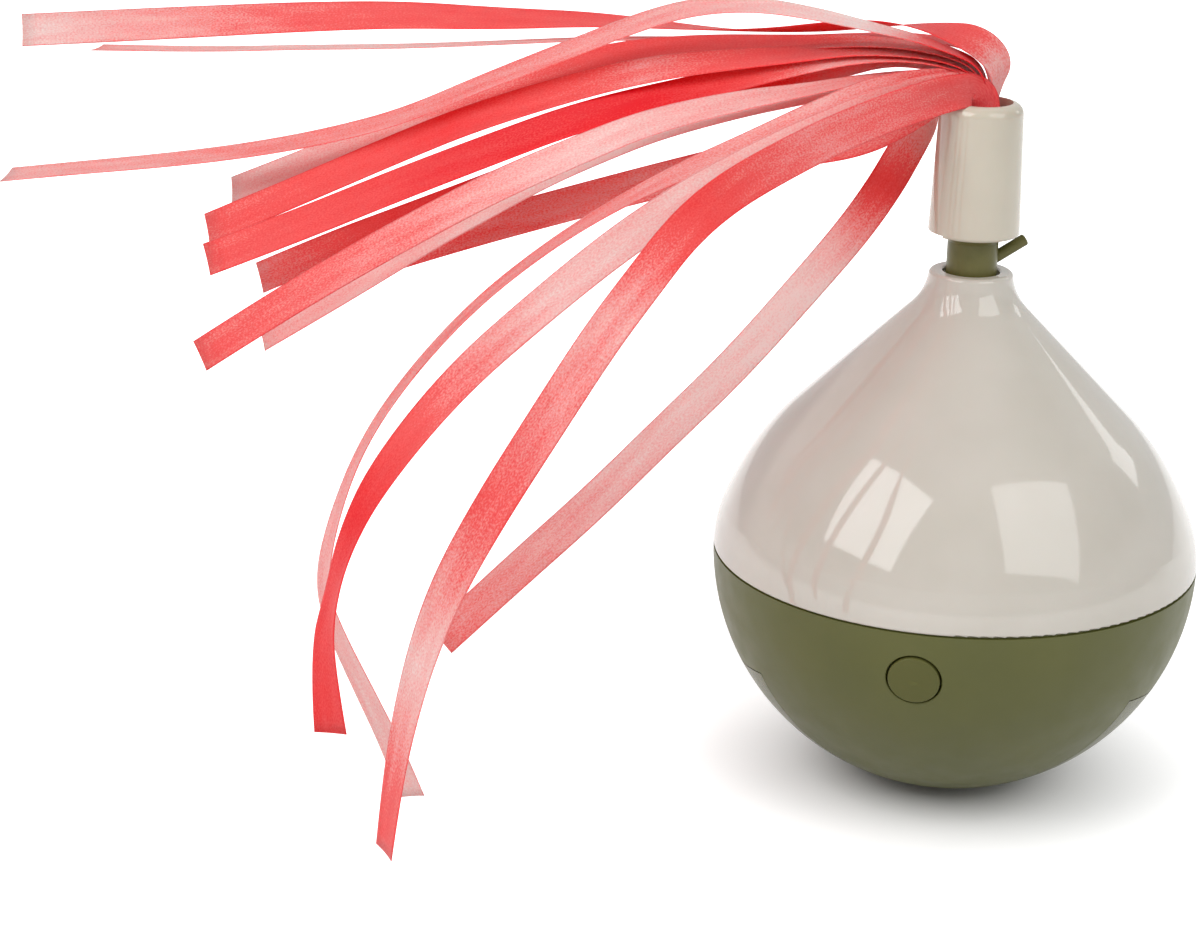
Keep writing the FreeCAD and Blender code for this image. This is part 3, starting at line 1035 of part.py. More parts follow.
# Route of each ribbon from the anchor to its free end, in millimetres from the middle of the cap's
# mouth, and the roll of its face at each point, in degrees: 0 faces the front and 90 faces up
RIBBONS = [
    ("ribbon_01",
     [(1.9, 1.3, -10.4), (1.9, 1.3, -4.6), (2.3, 1.3, 2.0), (2.5, 1.3, 7.4), (-2.5, 2.4, 10.9),
      (-10.1, 7.0, 11.9), (-18.5, 11.5, 10.7), (-27.3, 14.5, 8.9), (-38.1, 18.0, 7.2),
      (-50.9, 21.5, 6.3), (-69.8, 27.0, 6.2), (-89.1, 32.0, 4.7), (-109.0, 37.0, 3.7),
      (-129.2, 41.0, 1.7), (-149.6, 44.0, -0.6), (-168.2, 46.0, -2.6), (-186.3, 47.0, -4.4)],
     [90, 90, 84, 56, 42, 80, 88, 88, 88, 88, 70, 62, 62, 64, 66, 64, 60]),
    ("ribbon_02",
     [(1.45, 1.3, -10.4), (1.45, 1.3, -4.6), (1.5, 1.6, 1.9), (-0.4, 4.3, 6.8), (-5.3, 8.5, 8.3),
      (-14.1, 12.8, 8.3), (-23.7, 15.0, 7.4), (-34.4, 17.5, 6.1), (-50.8, 21.0, 4.6),
      (-69.3, 24.5, 3.2), (-88.3, 28.0, 0.9), (-107.9, 32.0, -1.4), (-128.0, 36.0, -3.2),
      (-148.3, 39.0, -5.1), (-169.3, 41.0, -6.0)],
     [90, 90, 90, 90, 90, 90, 92, 94, 98, 102, 105, 106, 106, 106, 106]),
    ("ribbon_03",
     [(1, 1.3, -10.4), (1, 1.3, -4.6), (1.0, 1.2, 1.7), (-1.0, 1.2, 6.3), (-6.0, 0.6, 8.3),
      (-12.0, 0.6, 10.1), (-19.7, 1.2, 11.5), (-28.4, 2.2, 13.0), (-38.9, 4.0, 14.0),
      (-49.4, 5.5, 13.1), (-59.1, 7.5, 9.9), (-72.8, 10.0, 3.6), (-89.1, 12.0, -3.6),
      (-104.1, 14.0, -11.0), (-119.5, 16.0, -15.8), (-135.1, 18.0, -19.7), (-151.1, 20.0, -22.7),
      (-167.3, 22.0, -25.3), (-182.6, 24.0, -27.9)],
     [90, 90, 90, 90, 90, 88, 85, 80, 76, 70, 66, 66, 68, 70, 72, 74, 76, 78, 78]),
    ("ribbon_04",
     [(0.55, 1.3, -10.4), (0.55, 1.3, -4.6), (0.5, 1.3, 1.5), (-1.6, 1.9, 5.6), (-6.7, 3.2, 7.3),
      (-14.6, 5.2, 8.2), (-23.3, 7.4, 7.9), (-33.9, 10.2, 6.5), (-50.1, 14.4, 4.8), (-64.6, 16.5, 2.4),
      (-76.6, 18.5, -1.7), (-90.6, 20.5, -7.5), (-105.9, 22.5, -13.9), (-123.4, 24.0, -21.9),
      (-138.8, 25.0, -28.7)],
     [90, 90, 90, 90, 90, 88, 86, 84, 78, 70, 66, 64, 64, 62, 62]),
    ("ribbon_05",
     [(0.1, 1.3, -10.4), (0.1, 1.3, -4.6), (0.0, 1.3, 1.3), (-2.3, 1.4, 5.1), (-7.6, 1.8, 6.7),
      (-15.3, 2.8, 7.2), (-23.1, 3.8, 7.0), (-31.7, 4.7, 5.7), (-47.1, 5.6, 3.5), (-57.1, 7.0, 1.5),
      (-68.7, 8.5, -1.6), (-88.8, 10.5, -8.9), (-103.7, 12.0, -15.9), (-122.7, 13.5, -25.2),
      (-140.9, 15.0, -33.9)],
     [90, 90, 90, 90, 90, 88, 86, 80, 74, 66, 62, 60, 58, 56, 56]),
    ("ribbon_06",
     [(-0.35, 1.3, -10.4), (-0.35, 1.3, -4.6), (-0.5, 1.3, 1.3), (-2.8, 1.3, 4.6), (-8.2, 1.2, 6.1),
      (-15.3, 1.7, 6.5), (-22.9, 2.2, 5.9), (-31.5, 2.8, 4.2), (-49.4, 3.6, -0.8), (-69.5, 4.6, -7.0),
      (-86.0, 5.6, -14.1), (-103.4, 6.4, -21.8), (-122.7, 7.2, -30.8), (-139.1, 8.0, -37.9)],
     [90, 90, 90, 90, 90, 88, 84, 76, 66, 60, 56, 54, 54, 54]),
    ("ribbon_07",
     [(-0.8, 1.3, -10.4), (-0.8, 1.3, -4.6), (-0.9, 1.3, 1.2), (-3.5, 1.5, 4.0), (-9.3, 2.8, 5.1),
      (-16.2, 5.2, 5.0), (-23.1, 7.4, 2.9), (-31.7, 9.0, -0.1), (-49.3, 11.0, -5.8),
      (-67.3, 12.4, -13.2), (-85.6, 13.6, -22.1), (-104.3, 14.6, -30.4), (-117.7, 15.4, -36.3),
      (-131.3, 16.0, -43.0)],
     [90, 90, 90, 90, 90, 88, 86, 82, 74, 66, 62, 60, 58, 58]),
    ("ribbon_08",
     [(-1.25, 1.3, -10.4), (-1.25, 1.3, -4.6), (-1.4, 1.3, 1.1), (-4.0, 1.2, 3.6), (-9.8, 0.8, 4.1),
      (-16.2, -1.3, 3.7), (-22.5, -2.6, 2.7), (-30.9, -3.2, 0.8), (-41.0, -4.0, -1.2),
      (-56.3, -5.0, -5.4), (-68.2, -6.0, -10.7), (-81.9, -7.0, -17.2), (-94.2, -7.6, -24.2),
      (-105.9, -8.2, -31.2), (-121.0, -9.0, -40.8), (-135.6, -10.0, -50.9)],
     [90, 90, 90, 90, 90, 88, 86, 82, 74, 66, 60, 58, 56, 54, 54, 54]),
    ("ribbon_09",
     [(-1.7, 1.3, -10.4), (-1.7, 1.3, -4.6), (-1.9, 1.3, 1.0), (-4.5, 1.2, 3.2), (-10.4, 1.2, 2.9),
      (-16.7, 1.6, 1.8), (-23.5, 1.9, 0.2), (-31.2, 2.0, -1.6), (-40.6, 2.1, -3.5), (-55.4, 2.3, -7.9),
      (-65.9, 2.5, -12.4), (-75.6, 2.8, -17.1), (-87.3, 3.2, -24.2), (-98.8, 3.6, -31.5),
      (-113.2, 4.0, -41.4), (-128.0, 4.4, -51.1)],
     [90, 90, 90, 90, 90, 88, 87, 84, 80, 74, 68, 62, 60, 58, 58, 58]),
    ("ribbon_10",
     [(0, -2.6, -10.4), (0, -2.6, -4.6), (0.0, -2.6, 1.0), (-2.6, -2.6, 3.6), (-7.4, -3.5, 3.0),
      (-12.8, -5.2, -2.3), (-20.2, -4.0, -6.8), (-30.4, -3.0, -9.2), (-41.7, -1.2, -12.5),
      (-52.7, 1.2, -16.3), (-65.9, 4.0, -21.0), (-79.2, 6.5, -25.8), (-91.8, 9.0, -30.6),
      (-104.6, 11.5, -35.7), (-117.4, 14.0, -40.9)],
     [0, 0, 0, 0, 8, 14, 20, 26, 30, 34, 38, 42, 46, 48, 50]),
    ("ribbon_11",
     [(0, -3.05, -10.4), (0, -3.05, -4.6), (0.0, -3.0, 1.2), (-2.5, -3.1, 3.8), (-7.2, -4.0, 3.7),
      (-16.9, -12.0, 2.2), (-26.4, -18.0, -0.9), (-37.4, -23.0, -4.8), (-48.3, -28.0, -8.7),
      (-59.2, -32.5, -14.2), (-70.0, -36.5, -21.3), (-80.9, -40.0, -30.5), (-91.2, -43.0, -42.6),
      (-98.4, -45.0, -54.2), (-103.0, -46.5, -67.6), (-104.7, -47.5, -78.1), (-102.3, -48.0, -85.9),
      (-96.9, -49.0, -96.4), (-91.6, -50.0, -106.6), (-88.5, -50.5, -114.4)],
     [0, 0, 0, 0, 4, 18, 36, 58, 72, 80, 82, 80, 78, 74, 66, 56, 44, 38, 34, 30]),
    ("ribbon_12",
     [(0, -3.5, -10.4), (0, -3.5, -4.6), (0.0, -3.5, 1.4), (-2.3, -3.6, 4.0), (-7.0, -5.4, 3.8),
      (-15.9, -16.0, 1.4), (-22.8, -23.0, -0.4), (-31.1, -30.0, -3.3), (-39.3, -36.5, -6.8),
      (-46.6, -42.0, -10.5), (-55.4, -48.0, -16.1), (-66.2, -54.5, -24.8), (-79.4, -61.0, -36.7),
      (-90.4, -66.0, -51.1), (-95.3, -69.0, -61.5), (-97.5, -71.0, -71.1), (-98.6, -72.5, -80.1),
      (-96.9, -74.0, -92.9)],
     [0, 0, 0, 0, 2, 8, 16, 24, 28, 30, 30, 32, 36, 44, 56, 62, 40, 20]),
    ("ribbon_13",
     [(0, -3.95, -10.4), (0, -3.95, -4.6), (0.0, -4.0, 1.6), (-2.1, -4.2, 4.2), (-6.8, -7.2, 4.0),
      (-15.7, -20.5, 1.1), (-23.9, -33.0, -0.5), (-32.1, -46.0, -3.0), (-38.4, -57.0, -5.4),
      (-43.6, -66.0, -9.2), (-48.1, -74.0, -14.9), (-53.7, -81.0, -22.5), (-60.8, -87.0, -34.3),
      (-67.9, -91.0, -46.4), (-73.6, -94.0, -57.5), (-77.3, -96.0, -67.9), (-79.9, -97.5, -79.2),
      (-81.6, -98.5, -90.1), (-82.7, -99.0, -100.4)],
     [0, 0, 0, 0, 0, 6, 12, 16, 18, 20, 18, 16, 18, 22, 28, 38, 46, 52, 56]),
    ("ribbon_14",
     [(-2.15, 1.3, -10.4), (-2.15, 1.3, -4.6), (-2.3, 1.4, 0.6), (-4.1, 1.9, 2.1), (-9.0, 3.2, 1.9),
      (-9.4, 5.6, -5.2), (-12.4, 5.0, -9.8), (-15.5, 4.0, -16.0), (-20.2, 0.5, -23.1),
      (-26.6, -4.0, -30.9), (-39.3, -14.0, -45.3), (-50.1, -23.0, -55.3), (-61.6, -31.0, -66.6),
      (-73.3, -38.0, -77.0), (-85.2, -42.5, -88.6)],
     [90, 90, 90, 92, 104, 140, 172, 184, 192, 200, 206, 210, 208, 210, 214]),
]

# Spans of a route over the cap's edge that need closer sections
TIGHT_SPANS = 5


def smooth(points):
    """Return the curve of the second degree that a row of points pulls into shape."""
    curve = Part.BSplineCurve()
    repeats = [3] + [1] * (len(points) - 3) + [3]
    curve.buildFromPolesMultsKnots(points, repeats, list(range(len(points) - 1)), False, 2)
    return curve


def ribbon_section(line, turn, place_on_line):
    """Return the outline of a ribbon across its route at one place."""
    centre = line.value(place_on_line)
    along = line.tangent(place_on_line)[0]
    roll = math.radians(turn.value(place_on_line).x)
    upright = V(0, 1, 0).cross(along).normalize()
    level = along.cross(upright)
    across = upright * math.cos(roll) + level * math.sin(roll)
    edge = across * (size("ribbon_width") / 2)
    face = along.cross(across).normalize() * (size("ribbon_thickness") / 2)
    corners = [centre + edge + face, centre - edge + face, centre - edge - face, centre + edge - face]
    return Part.makePolygon(corners + corners[:1])


def ribbon(label, route, rolls):
    """Make one ribbon along its route."""
    line = smooth([V(*point) for point in route])
    turn = smooth([V(roll, 0, 0) for roll in rolls])
    spans = len(route) - 2
    places = []
    for span in range(spans):
        steps = 3 if span < TIGHT_SPANS else 2
        places += [span + step / steps for step in range(steps)]
    sections = [ribbon_section(line, turn, place_on_line) for place_on_line in places + [spans]]
    item = set_shape(label.title().replace("_", ""), Part.makeLoft(sections, True, True))
    place(item, z="cap_top")
    return part(label, item)


# Button and electronics

def power_button():
    """Round button with a flange inside the bowl and a stem that reaches for the switch."""
    crown = "(body_radius + button_proud)"
    foot = "flange_face - flange_sheet"
    dome = aimed(turned("ButtonDome", [("0", foot), ("button_radius", foot)]
                        + rounded_end("button_radius", crown, "-", 1) + [("0", crown, crown, 1)]))
    flange = aimed_rod("ButtonFlange", "button_radius + button_flange", "0", foot, "flange_face")
    stem = aimed_rod("ButtonStem", "plunger_radius", "0", "button_end", "flange_face")
    return part("power_button", fuse("PowerButton", dome, flange, stem))


def electronics():
    """Circuit board behind the button, with its switch and components."""
    face = "board_place + board_thickness"
    board = aimed_box("BoardPlate", "board_width", "board_height", "0", "0", "board_place", face)
    holes = [aimed_rod("BoardHole%d" % index, "shank_radius", x, "board_place - overshoot",
                       face + " + overshoot")
             for index, x in enumerate(("-board_screw_x", "board_screw_x"))]
    part("control_board", cut("ControlBoard", board, fuse("BoardHoles", *holes)))
    case = aimed_box("SwitchCase", "switch_width", "switch_width", "0", "0", face, face + " + switch_height")
    plunger = aimed_rod("SwitchPlunger", "plunger_radius", "0", face, "plunger_tip")
    part("push_switch", fuse("PushSwitch", case, plunger))
    part("controller_chip", aimed_box("ControllerChip", "chip_width", "chip_height", "0", "chip_place",
                                      "board_place - chip_depth", "board_place"))
    part("capacitor", aimed_rod("Capacitor", "can_radius", "can_place", "board_place - can_length",
                                "board_place", "-can_drop"))
    part("motion_sensor", aimed_box("MotionSensor", "sensor_width", "sensor_height", "-sensor_place",
                                    "-sensor_drop", "board_place - sensor_depth", "board_place"))


def check_model():
    """Stop if any feature failed or any sub-part has no valid shape."""
    for item in doc.Objects:
        if "Invalid" in item.State or "Error" in item.State:
            raise RuntimeError("%s did not build: %s" % (item.Name, item.State))
    for item in PARTS:
        if item.Shape.isNull() or not item.Shape.isValid() or not item.Shape.Solids:
            raise RuntimeError("%s has no valid shape" % item.Label)


def export_parts():
    """Write one file for each sub-part."""
    os.makedirs("parts", exist_ok=True)
    for item in PARTS:
        item.Shape.exportStep("parts/%s.step" % item.Label)
        print("%-24s %2d solid(s) %10.1f mm3" % (item.Label, len(item.Shape.Solids), item.Shape.Volume))


fill_sheet()
upper_housing()
lower_housing()
battery_door()
screws()
battery_cells()
battery_contacts()
drive_motor()
small_shafts()
motor_pinion()
reduction_gear()
output_gear()
gearbox_base()
gearbox_cover()
ribbon_spindle()
neck_bush()
ribbon_cap()
ribbon_anchor()
for name, points, rolls in RIBBONS:
    ribbon(name, points, rolls)
power_button()
electronics()
doc.recompute()
check_model()
export_parts()
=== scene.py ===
"""Look of an electronic hide-and-seek cat toy, in metres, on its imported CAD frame.

The housings, the drive and the electronics keep their CAD shapes and get moulded, turned and
printed finishes. The satin ribbons are woven strips that replace their CAD solids. A studio with
a white sweep and soft boxes stands round the toy.
"""
import logging
import math
from dataclasses import dataclass
from enum import Enum

import bmesh
import bpy
from mathutils import Euler, Matrix, Vector


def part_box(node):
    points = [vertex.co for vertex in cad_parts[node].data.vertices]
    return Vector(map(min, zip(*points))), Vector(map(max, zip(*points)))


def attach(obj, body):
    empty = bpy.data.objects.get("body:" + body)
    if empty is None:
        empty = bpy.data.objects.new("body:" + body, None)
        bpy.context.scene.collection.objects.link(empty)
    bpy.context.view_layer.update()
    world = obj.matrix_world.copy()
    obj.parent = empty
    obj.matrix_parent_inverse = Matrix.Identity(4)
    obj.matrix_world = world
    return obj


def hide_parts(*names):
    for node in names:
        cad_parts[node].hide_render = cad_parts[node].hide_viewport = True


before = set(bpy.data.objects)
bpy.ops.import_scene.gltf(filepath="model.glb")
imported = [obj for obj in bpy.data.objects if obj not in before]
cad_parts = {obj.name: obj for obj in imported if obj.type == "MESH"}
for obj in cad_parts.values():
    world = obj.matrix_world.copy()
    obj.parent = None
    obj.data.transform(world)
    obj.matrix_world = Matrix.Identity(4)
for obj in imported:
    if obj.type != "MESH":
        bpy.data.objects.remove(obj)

log = logging.getLogger("cat_toy")

Colour = tuple[float, float, float, float]
Point = tuple[float, float, float]

MM = 0.001


def screen(red: int, green: int, blue: int) -> Colour:
    """Turn a screen colour into the linear one that shaders use.

    Args:
        red: Red from 0 to 255.
        green: Green from 0 to 255.
        blue: Blue from 0 to 255.

    Returns:
        The linear colour with full alpha.
    """
    def straighten(level: int) -> float:
        """Undo the screen's curve for one channel."""
        share = level / 255
        return share / 12.92 if share <= 0.04045 else ((share + 0.055) / 1.055) ** 2.4

    return straighten(red), straighten(green), straighten(blue), 1.0


class Recipe:
    """A material whose nodes are being mixed."""

    def __init__(self, name: str) -> None:
        """Start a material with one Principled shader.

        Args:
            name: Name of the material.
        """
        self.material = bpy.data.materials.new(name)
        self.material.use_nodes = True
        self.tree = self.material.node_tree
        self.shader = self.tree.nodes["Principled BSDF"]
        self.place = self.add("TexCoord").outputs["Object"]

    def add(self, kind: str, **inputs: object) -> bpy.types.Node:
        """Add a node and feed its inputs.

        Args:
            kind: Type of the node, without Blender's prefix.
            inputs: A value or a socket for each named input, with underscores for spaces.

        Returns:
            The node.
        """
        node = self.tree.nodes.new("ShaderNode" + kind)
        for name, source in inputs.items():
            self.feed(node.inputs[name.replace("_", " ")], source)
        return node

    def feed(self, socket: bpy.types.NodeSocket, source: object) -> None:
        """Join a socket to a source, or set its value.

        Args:
            socket: The input that is fed.
            source: Another socket, or a value.
        """
        if isinstance(source, bpy.types.NodeSocket):
            self.tree.links.new(source, socket)
        else:
            socket.default_value = source

    def set(self, **inputs: object) -> None:
        """Feed the main shader's inputs, with underscores for spaces in their names."""
        for name, source in inputs.items():
            self.feed(self.shader.inputs[name.replace("_", " ")], source)

    def math(self, step: str, first: object, second: object = 0.0) -> bpy.types.NodeSocket:
        """Do one step of arithmetic.

        Args:
            step: Blender's name of the operation.
            first: First value or socket.
            second: Second value or socket.

        Returns:
            The result's socket.
        """
        node = self.add("Math")
        node.operation = step
        self.feed(node.inputs[0], first)
        self.feed(node.inputs[1], second)
        return node.outputs[0]

    def noise(self, size: float, detail: float = 2.0, place: object = None) -> bpy.types.NodeSocket:
        """Make soft noise of a real size.

        Args:
            size: Size of its blobs in the units of its coordinates.
            detail: How many finer layers it has.
            place: Coordinates, or none for the piece's own place.

        Returns:
            The noise from 0 to 1.
        """
        node = self.add("TexNoise", Vector=place or self.place, Scale=1 / size, Detail=detail)
        return node.outputs["Fac"]

    def stretched(self, place: bpy.types.NodeSocket, scale: Point) -> bpy.types.NodeSocket:
        """Stretch coordinates.

        Args:
            place: The coordinates.
            scale: Factor on each axis.

        Returns:
            The stretched coordinates.
        """
        return self.add("Mapping", Vector=place, Scale=scale).outputs["Vector"]

    def spread(self, source: object, low: float, high: float, start: float = 0.3,
               end: float = 0.7) -> bpy.types.NodeSocket:
        """Stretch one range of values over another.

        Args:
            source: The value.
            low: Result at the start of the range.
            high: Result at its end.
            start: Start of the range that is read.
            end: End of the range that is read.

        Returns:
            The new value.
        """
        node = self.add("MapRange", Value=source, From_Min=start, From_Max=end, To_Min=low, To_Max=high)
        return node.outputs["Result"]

    def blend(self, share: object, first: object, second: object) -> bpy.types.NodeSocket:
        """Mix two colours.

        Args:
            share: Share of the second colour.
            first: First colour.
            second: Second colour.

        Returns:
            The mixed colour.
        """
        node = self.add("Mix")
        node.data_type = "RGBA"
        for number, source in ((0, share), (6, first), (7, second)):
            self.feed(node.inputs[number], source)
        return node.outputs[2]

    def bump(self, height: object, depth: float, strength: float = 1.0) -> None:
        """Raise the surface over what was raised before.

        Args:
            height: Height from 0 to 1.
            depth: Real height in metres where it is 1.
            strength: Share of the effect.
        """
        node = self.add("Bump", Height=height, Distance=depth, Strength=strength)
        normal = self.shader.inputs["Normal"]
        if normal.is_linked:
            self.tree.links.new(normal.links[0].from_socket, node.inputs["Normal"])
        self.tree.links.new(node.outputs["Normal"], normal)

    def axis(self, name: str) -> bpy.types.NodeSocket:
        """Return one coordinate of the piece's own place, X, Y or Z."""
        return self.add("SeparateXYZ", Vector=self.place).outputs[name]


# Finishes

@dataclass(frozen=True)
class Moulded:
    """Moulded plastic with cloudy tone, a fine grain and rubbed patches."""

    name: str
    colour: Colour
    cloud: Colour
    cloud_size: float = 14 * MM
    smooth: float = 0.12
    rough: float = 0.2
    grain_size: float = 0.3 * MM
    grain_depth: float = 0.004 * MM
    wave_size: float = 9 * MM
    wave_depth: float = 0.006 * MM
    coat: float = 0.0
    glow: float = 0.0
    specular: float = 0.5

    def material(self) -> bpy.types.Material:
        """Mix the finish.

        Returns:
            The material.
        """
        recipe = Recipe(self.name)
        tone = recipe.blend(recipe.spread(recipe.noise(self.cloud_size, 3.0), 0.0, 1.0),
                            self.colour, self.cloud)
        recipe.set(Base_Color=tone, Coat_Weight=self.coat, Coat_Roughness=0.06,
                   Subsurface_Weight=self.glow, Subsurface_Scale=2 * MM, Specular_IOR_Level=self.specular)
        recipe.set(Roughness=recipe.spread(recipe.noise(self.cloud_size / 3, 4.0), self.smooth, self.rough))
        recipe.bump(recipe.noise(self.wave_size, 1.0), self.wave_depth)
        recipe.bump(recipe.noise(self.grain_size, 2.0), self.grain_depth)
        return recipe.material


@dataclass(frozen=True)
class Metal:
    """Metal with a drawn or turned grain and duller patches."""

    name: str
    colour: Colour
    stain: Colour
    smooth: float = 0.2
    rough: float = 0.4
    grain: Point = (1.0, 1.0, 14.0)
    grain_size: float = 0.6 * MM
    grain_depth: float = 0.003 * MM

    def material(self) -> bpy.types.Material:
        """Mix the finish.

        Returns:
            The material.
        """
        recipe = Recipe(self.name)
        lines = recipe.noise(self.grain_size, 3.0, recipe.stretched(recipe.place, self.grain))
        patches = recipe.noise(3 * MM, 3.0)
        recipe.set(Base_Color=recipe.blend(recipe.spread(patches, 0.0, 1.0), self.colour, self.stain),
                   Metallic=1.0,
                   Roughness=recipe.spread(recipe.math("MULTIPLY", lines, patches), self.smooth, self.rough,
                                           0.1, 0.45))
        recipe.bump(lines, self.grain_depth)
        return recipe.material


@dataclass(frozen=True)
class CellJacket:
    """Shrunk sleeve of a battery cell, bare metal at both ends."""

    name: str
    sleeve: Colour
    band: Colour
    steel: Colour
    half_length: float = 21.4 * MM
    band_from: float = 12.5 * MM

    def material(self) -> bpy.types.Material:
        """Mix the finish.

        Returns:
            The material.
        """
        recipe = Recipe(self.name)
        along = recipe.axis("X")
        ends = recipe.math("GREATER_THAN", recipe.math("ABSOLUTE", along), self.half_length)
        coloured = recipe.math("GREATER_THAN", along, self.band_from)
        cloud = recipe.spread(recipe.noise(4 * MM, 3.0), 0.0, 0.25)
        sleeve = recipe.blend(coloured, recipe.blend(cloud, self.sleeve, self.steel), self.band)
        recipe.set(Base_Color=recipe.blend(ends, sleeve, self.steel), Metallic=ends,
                   Roughness=recipe.spread(recipe.noise(2 * MM), 0.18, 0.34), Coat_Weight=0.2)
        recipe.bump(recipe.noise(1.5 * MM, 2.0), 0.01 * MM)
        return recipe.material


@dataclass(frozen=True)
class Laminate:
    """Circuit board with a green mask over copper tracks."""

    name: str
    mask: Colour
    track: Colour
    pitch: float = 2.2 * MM

    def material(self) -> bpy.types.Material:
        """Mix the finish.

        Returns:
            The material.
        """
        recipe = Recipe(self.name)
        bricks = recipe.add("TexBrick", Vector=recipe.stretched(recipe.place, (1.0, 0.0, 1.4)),
                            Scale=1 / self.pitch, Mortar_Size=0.06, Brick_Width=2.4, Row_Height=0.8)
        lines = bricks.outputs["Fac"]
        recipe.set(Base_Color=recipe.blend(lines, self.mask, self.track),
                   Roughness=recipe.spread(recipe.noise(1 * MM), 0.25, 0.4), Coat_Weight=0.3)
        recipe.bump(lines, 0.03 * MM)
        return recipe.material


@dataclass(frozen=True)
class SatinWeave:
    """Satin ribbon: a red ground with painted sheen and painted shade along it, and woven edges."""

    name: str
    ground: Colour
    # The second colour is a pale painted sheen; the third is a deep red painted shade that also colours the
    # woven edges.
    painted_sheen: Colour
    painted_shade_and_selvedge: Colour
    half_width: float
    thread: float = 0.16 * MM
    sparkle: float = 0.25 * MM
    selvedge: float = 0.25 * MM
    sheen: float = 0.03
    lustre: float = 1.5
    shine: float = 0.2
    glow: float = 0.85
    glow_depth: float = 1.2 * MM

    # Name of the strip's attribute that carries painted sheen and painted shade along it.
    PAINTED_LIGHT = "painted_light"

    def material(self) -> bpy.types.Material:
        """Mix the finish on the ribbon's own map, which is in metres across and along it.

        Returns:
            The material.
        """
        recipe = Recipe(self.name)
        cloth = recipe.add("UVMap")
        cloth.uv_map = Ribbon.UV_NAME
        place = cloth.outputs["UV"]
        across = recipe.add("SeparateXYZ", Vector=place).outputs["X"]
        floats = recipe.noise(self.sparkle, 2.0, recipe.stretched(place, (1.0, 0.55, 1.0)))
        streaks = recipe.noise(1.6 * MM, 3.0, recipe.stretched(place, (1.0, 0.12, 1.0)))
        # Painted light: the strip's attribute plus weave noise blends the ground towards a pale painted
        # sheen above 0 and towards deep red painted shade below 0.
        painted_light_node = recipe.add("Attribute")
        painted_light_node.attribute_name = self.PAINTED_LIGHT
        loose = recipe.math("ADD", recipe.spread(floats, -0.2, 0.2, 0.34, 0.66),
                            recipe.spread(streaks, -0.14, 0.14))
        painted_light = recipe.math("ADD", painted_light_node.outputs["Fac"], loose)
        tone = recipe.blend(recipe.spread(painted_light, 0.0, 1.0, 0.0, 1.0), self.ground, self.painted_sheen)
        tone = recipe.blend(recipe.spread(painted_light, 1.0, 0.0, -1.0, 0.0), tone, self.painted_shade_and_selvedge)
        edge = recipe.math("GREATER_THAN", recipe.math("ABSOLUTE", across), self.half_width - self.selvedge)
        tone = recipe.blend(recipe.math("MULTIPLY", edge, 0.35), tone, self.painted_shade_and_selvedge)
        threads = recipe.noise(self.thread, 1.0, recipe.stretched(place, (1.0, 0.2, 1.0)))
        recipe.set(Base_Color=tone, Roughness=recipe.spread(floats, 0.44, 0.34), Anisotropic=0.75,
                   Sheen_Weight=self.sheen, Sheen_Roughness=0.45, Sheen_Tint=screen(255, 214, 210),
                   IOR=self.lustre, Specular_IOR_Level=self.shine,
                   Subsurface_Weight=self.glow, Subsurface_Radius=(1.0, 0.08, 0.08),
                   Subsurface_Scale=self.glow_depth)
        tangent = recipe.add("Tangent")
        tangent.direction_type = "UV_MAP"
        tangent.uv_map = Ribbon.UV_NAME
        recipe.set(Tangent=tangent.outputs["Tangent"])
        recipe.bump(floats, 0.035 * MM)
        recipe.bump(threads, 0.012 * MM)
        return recipe.material


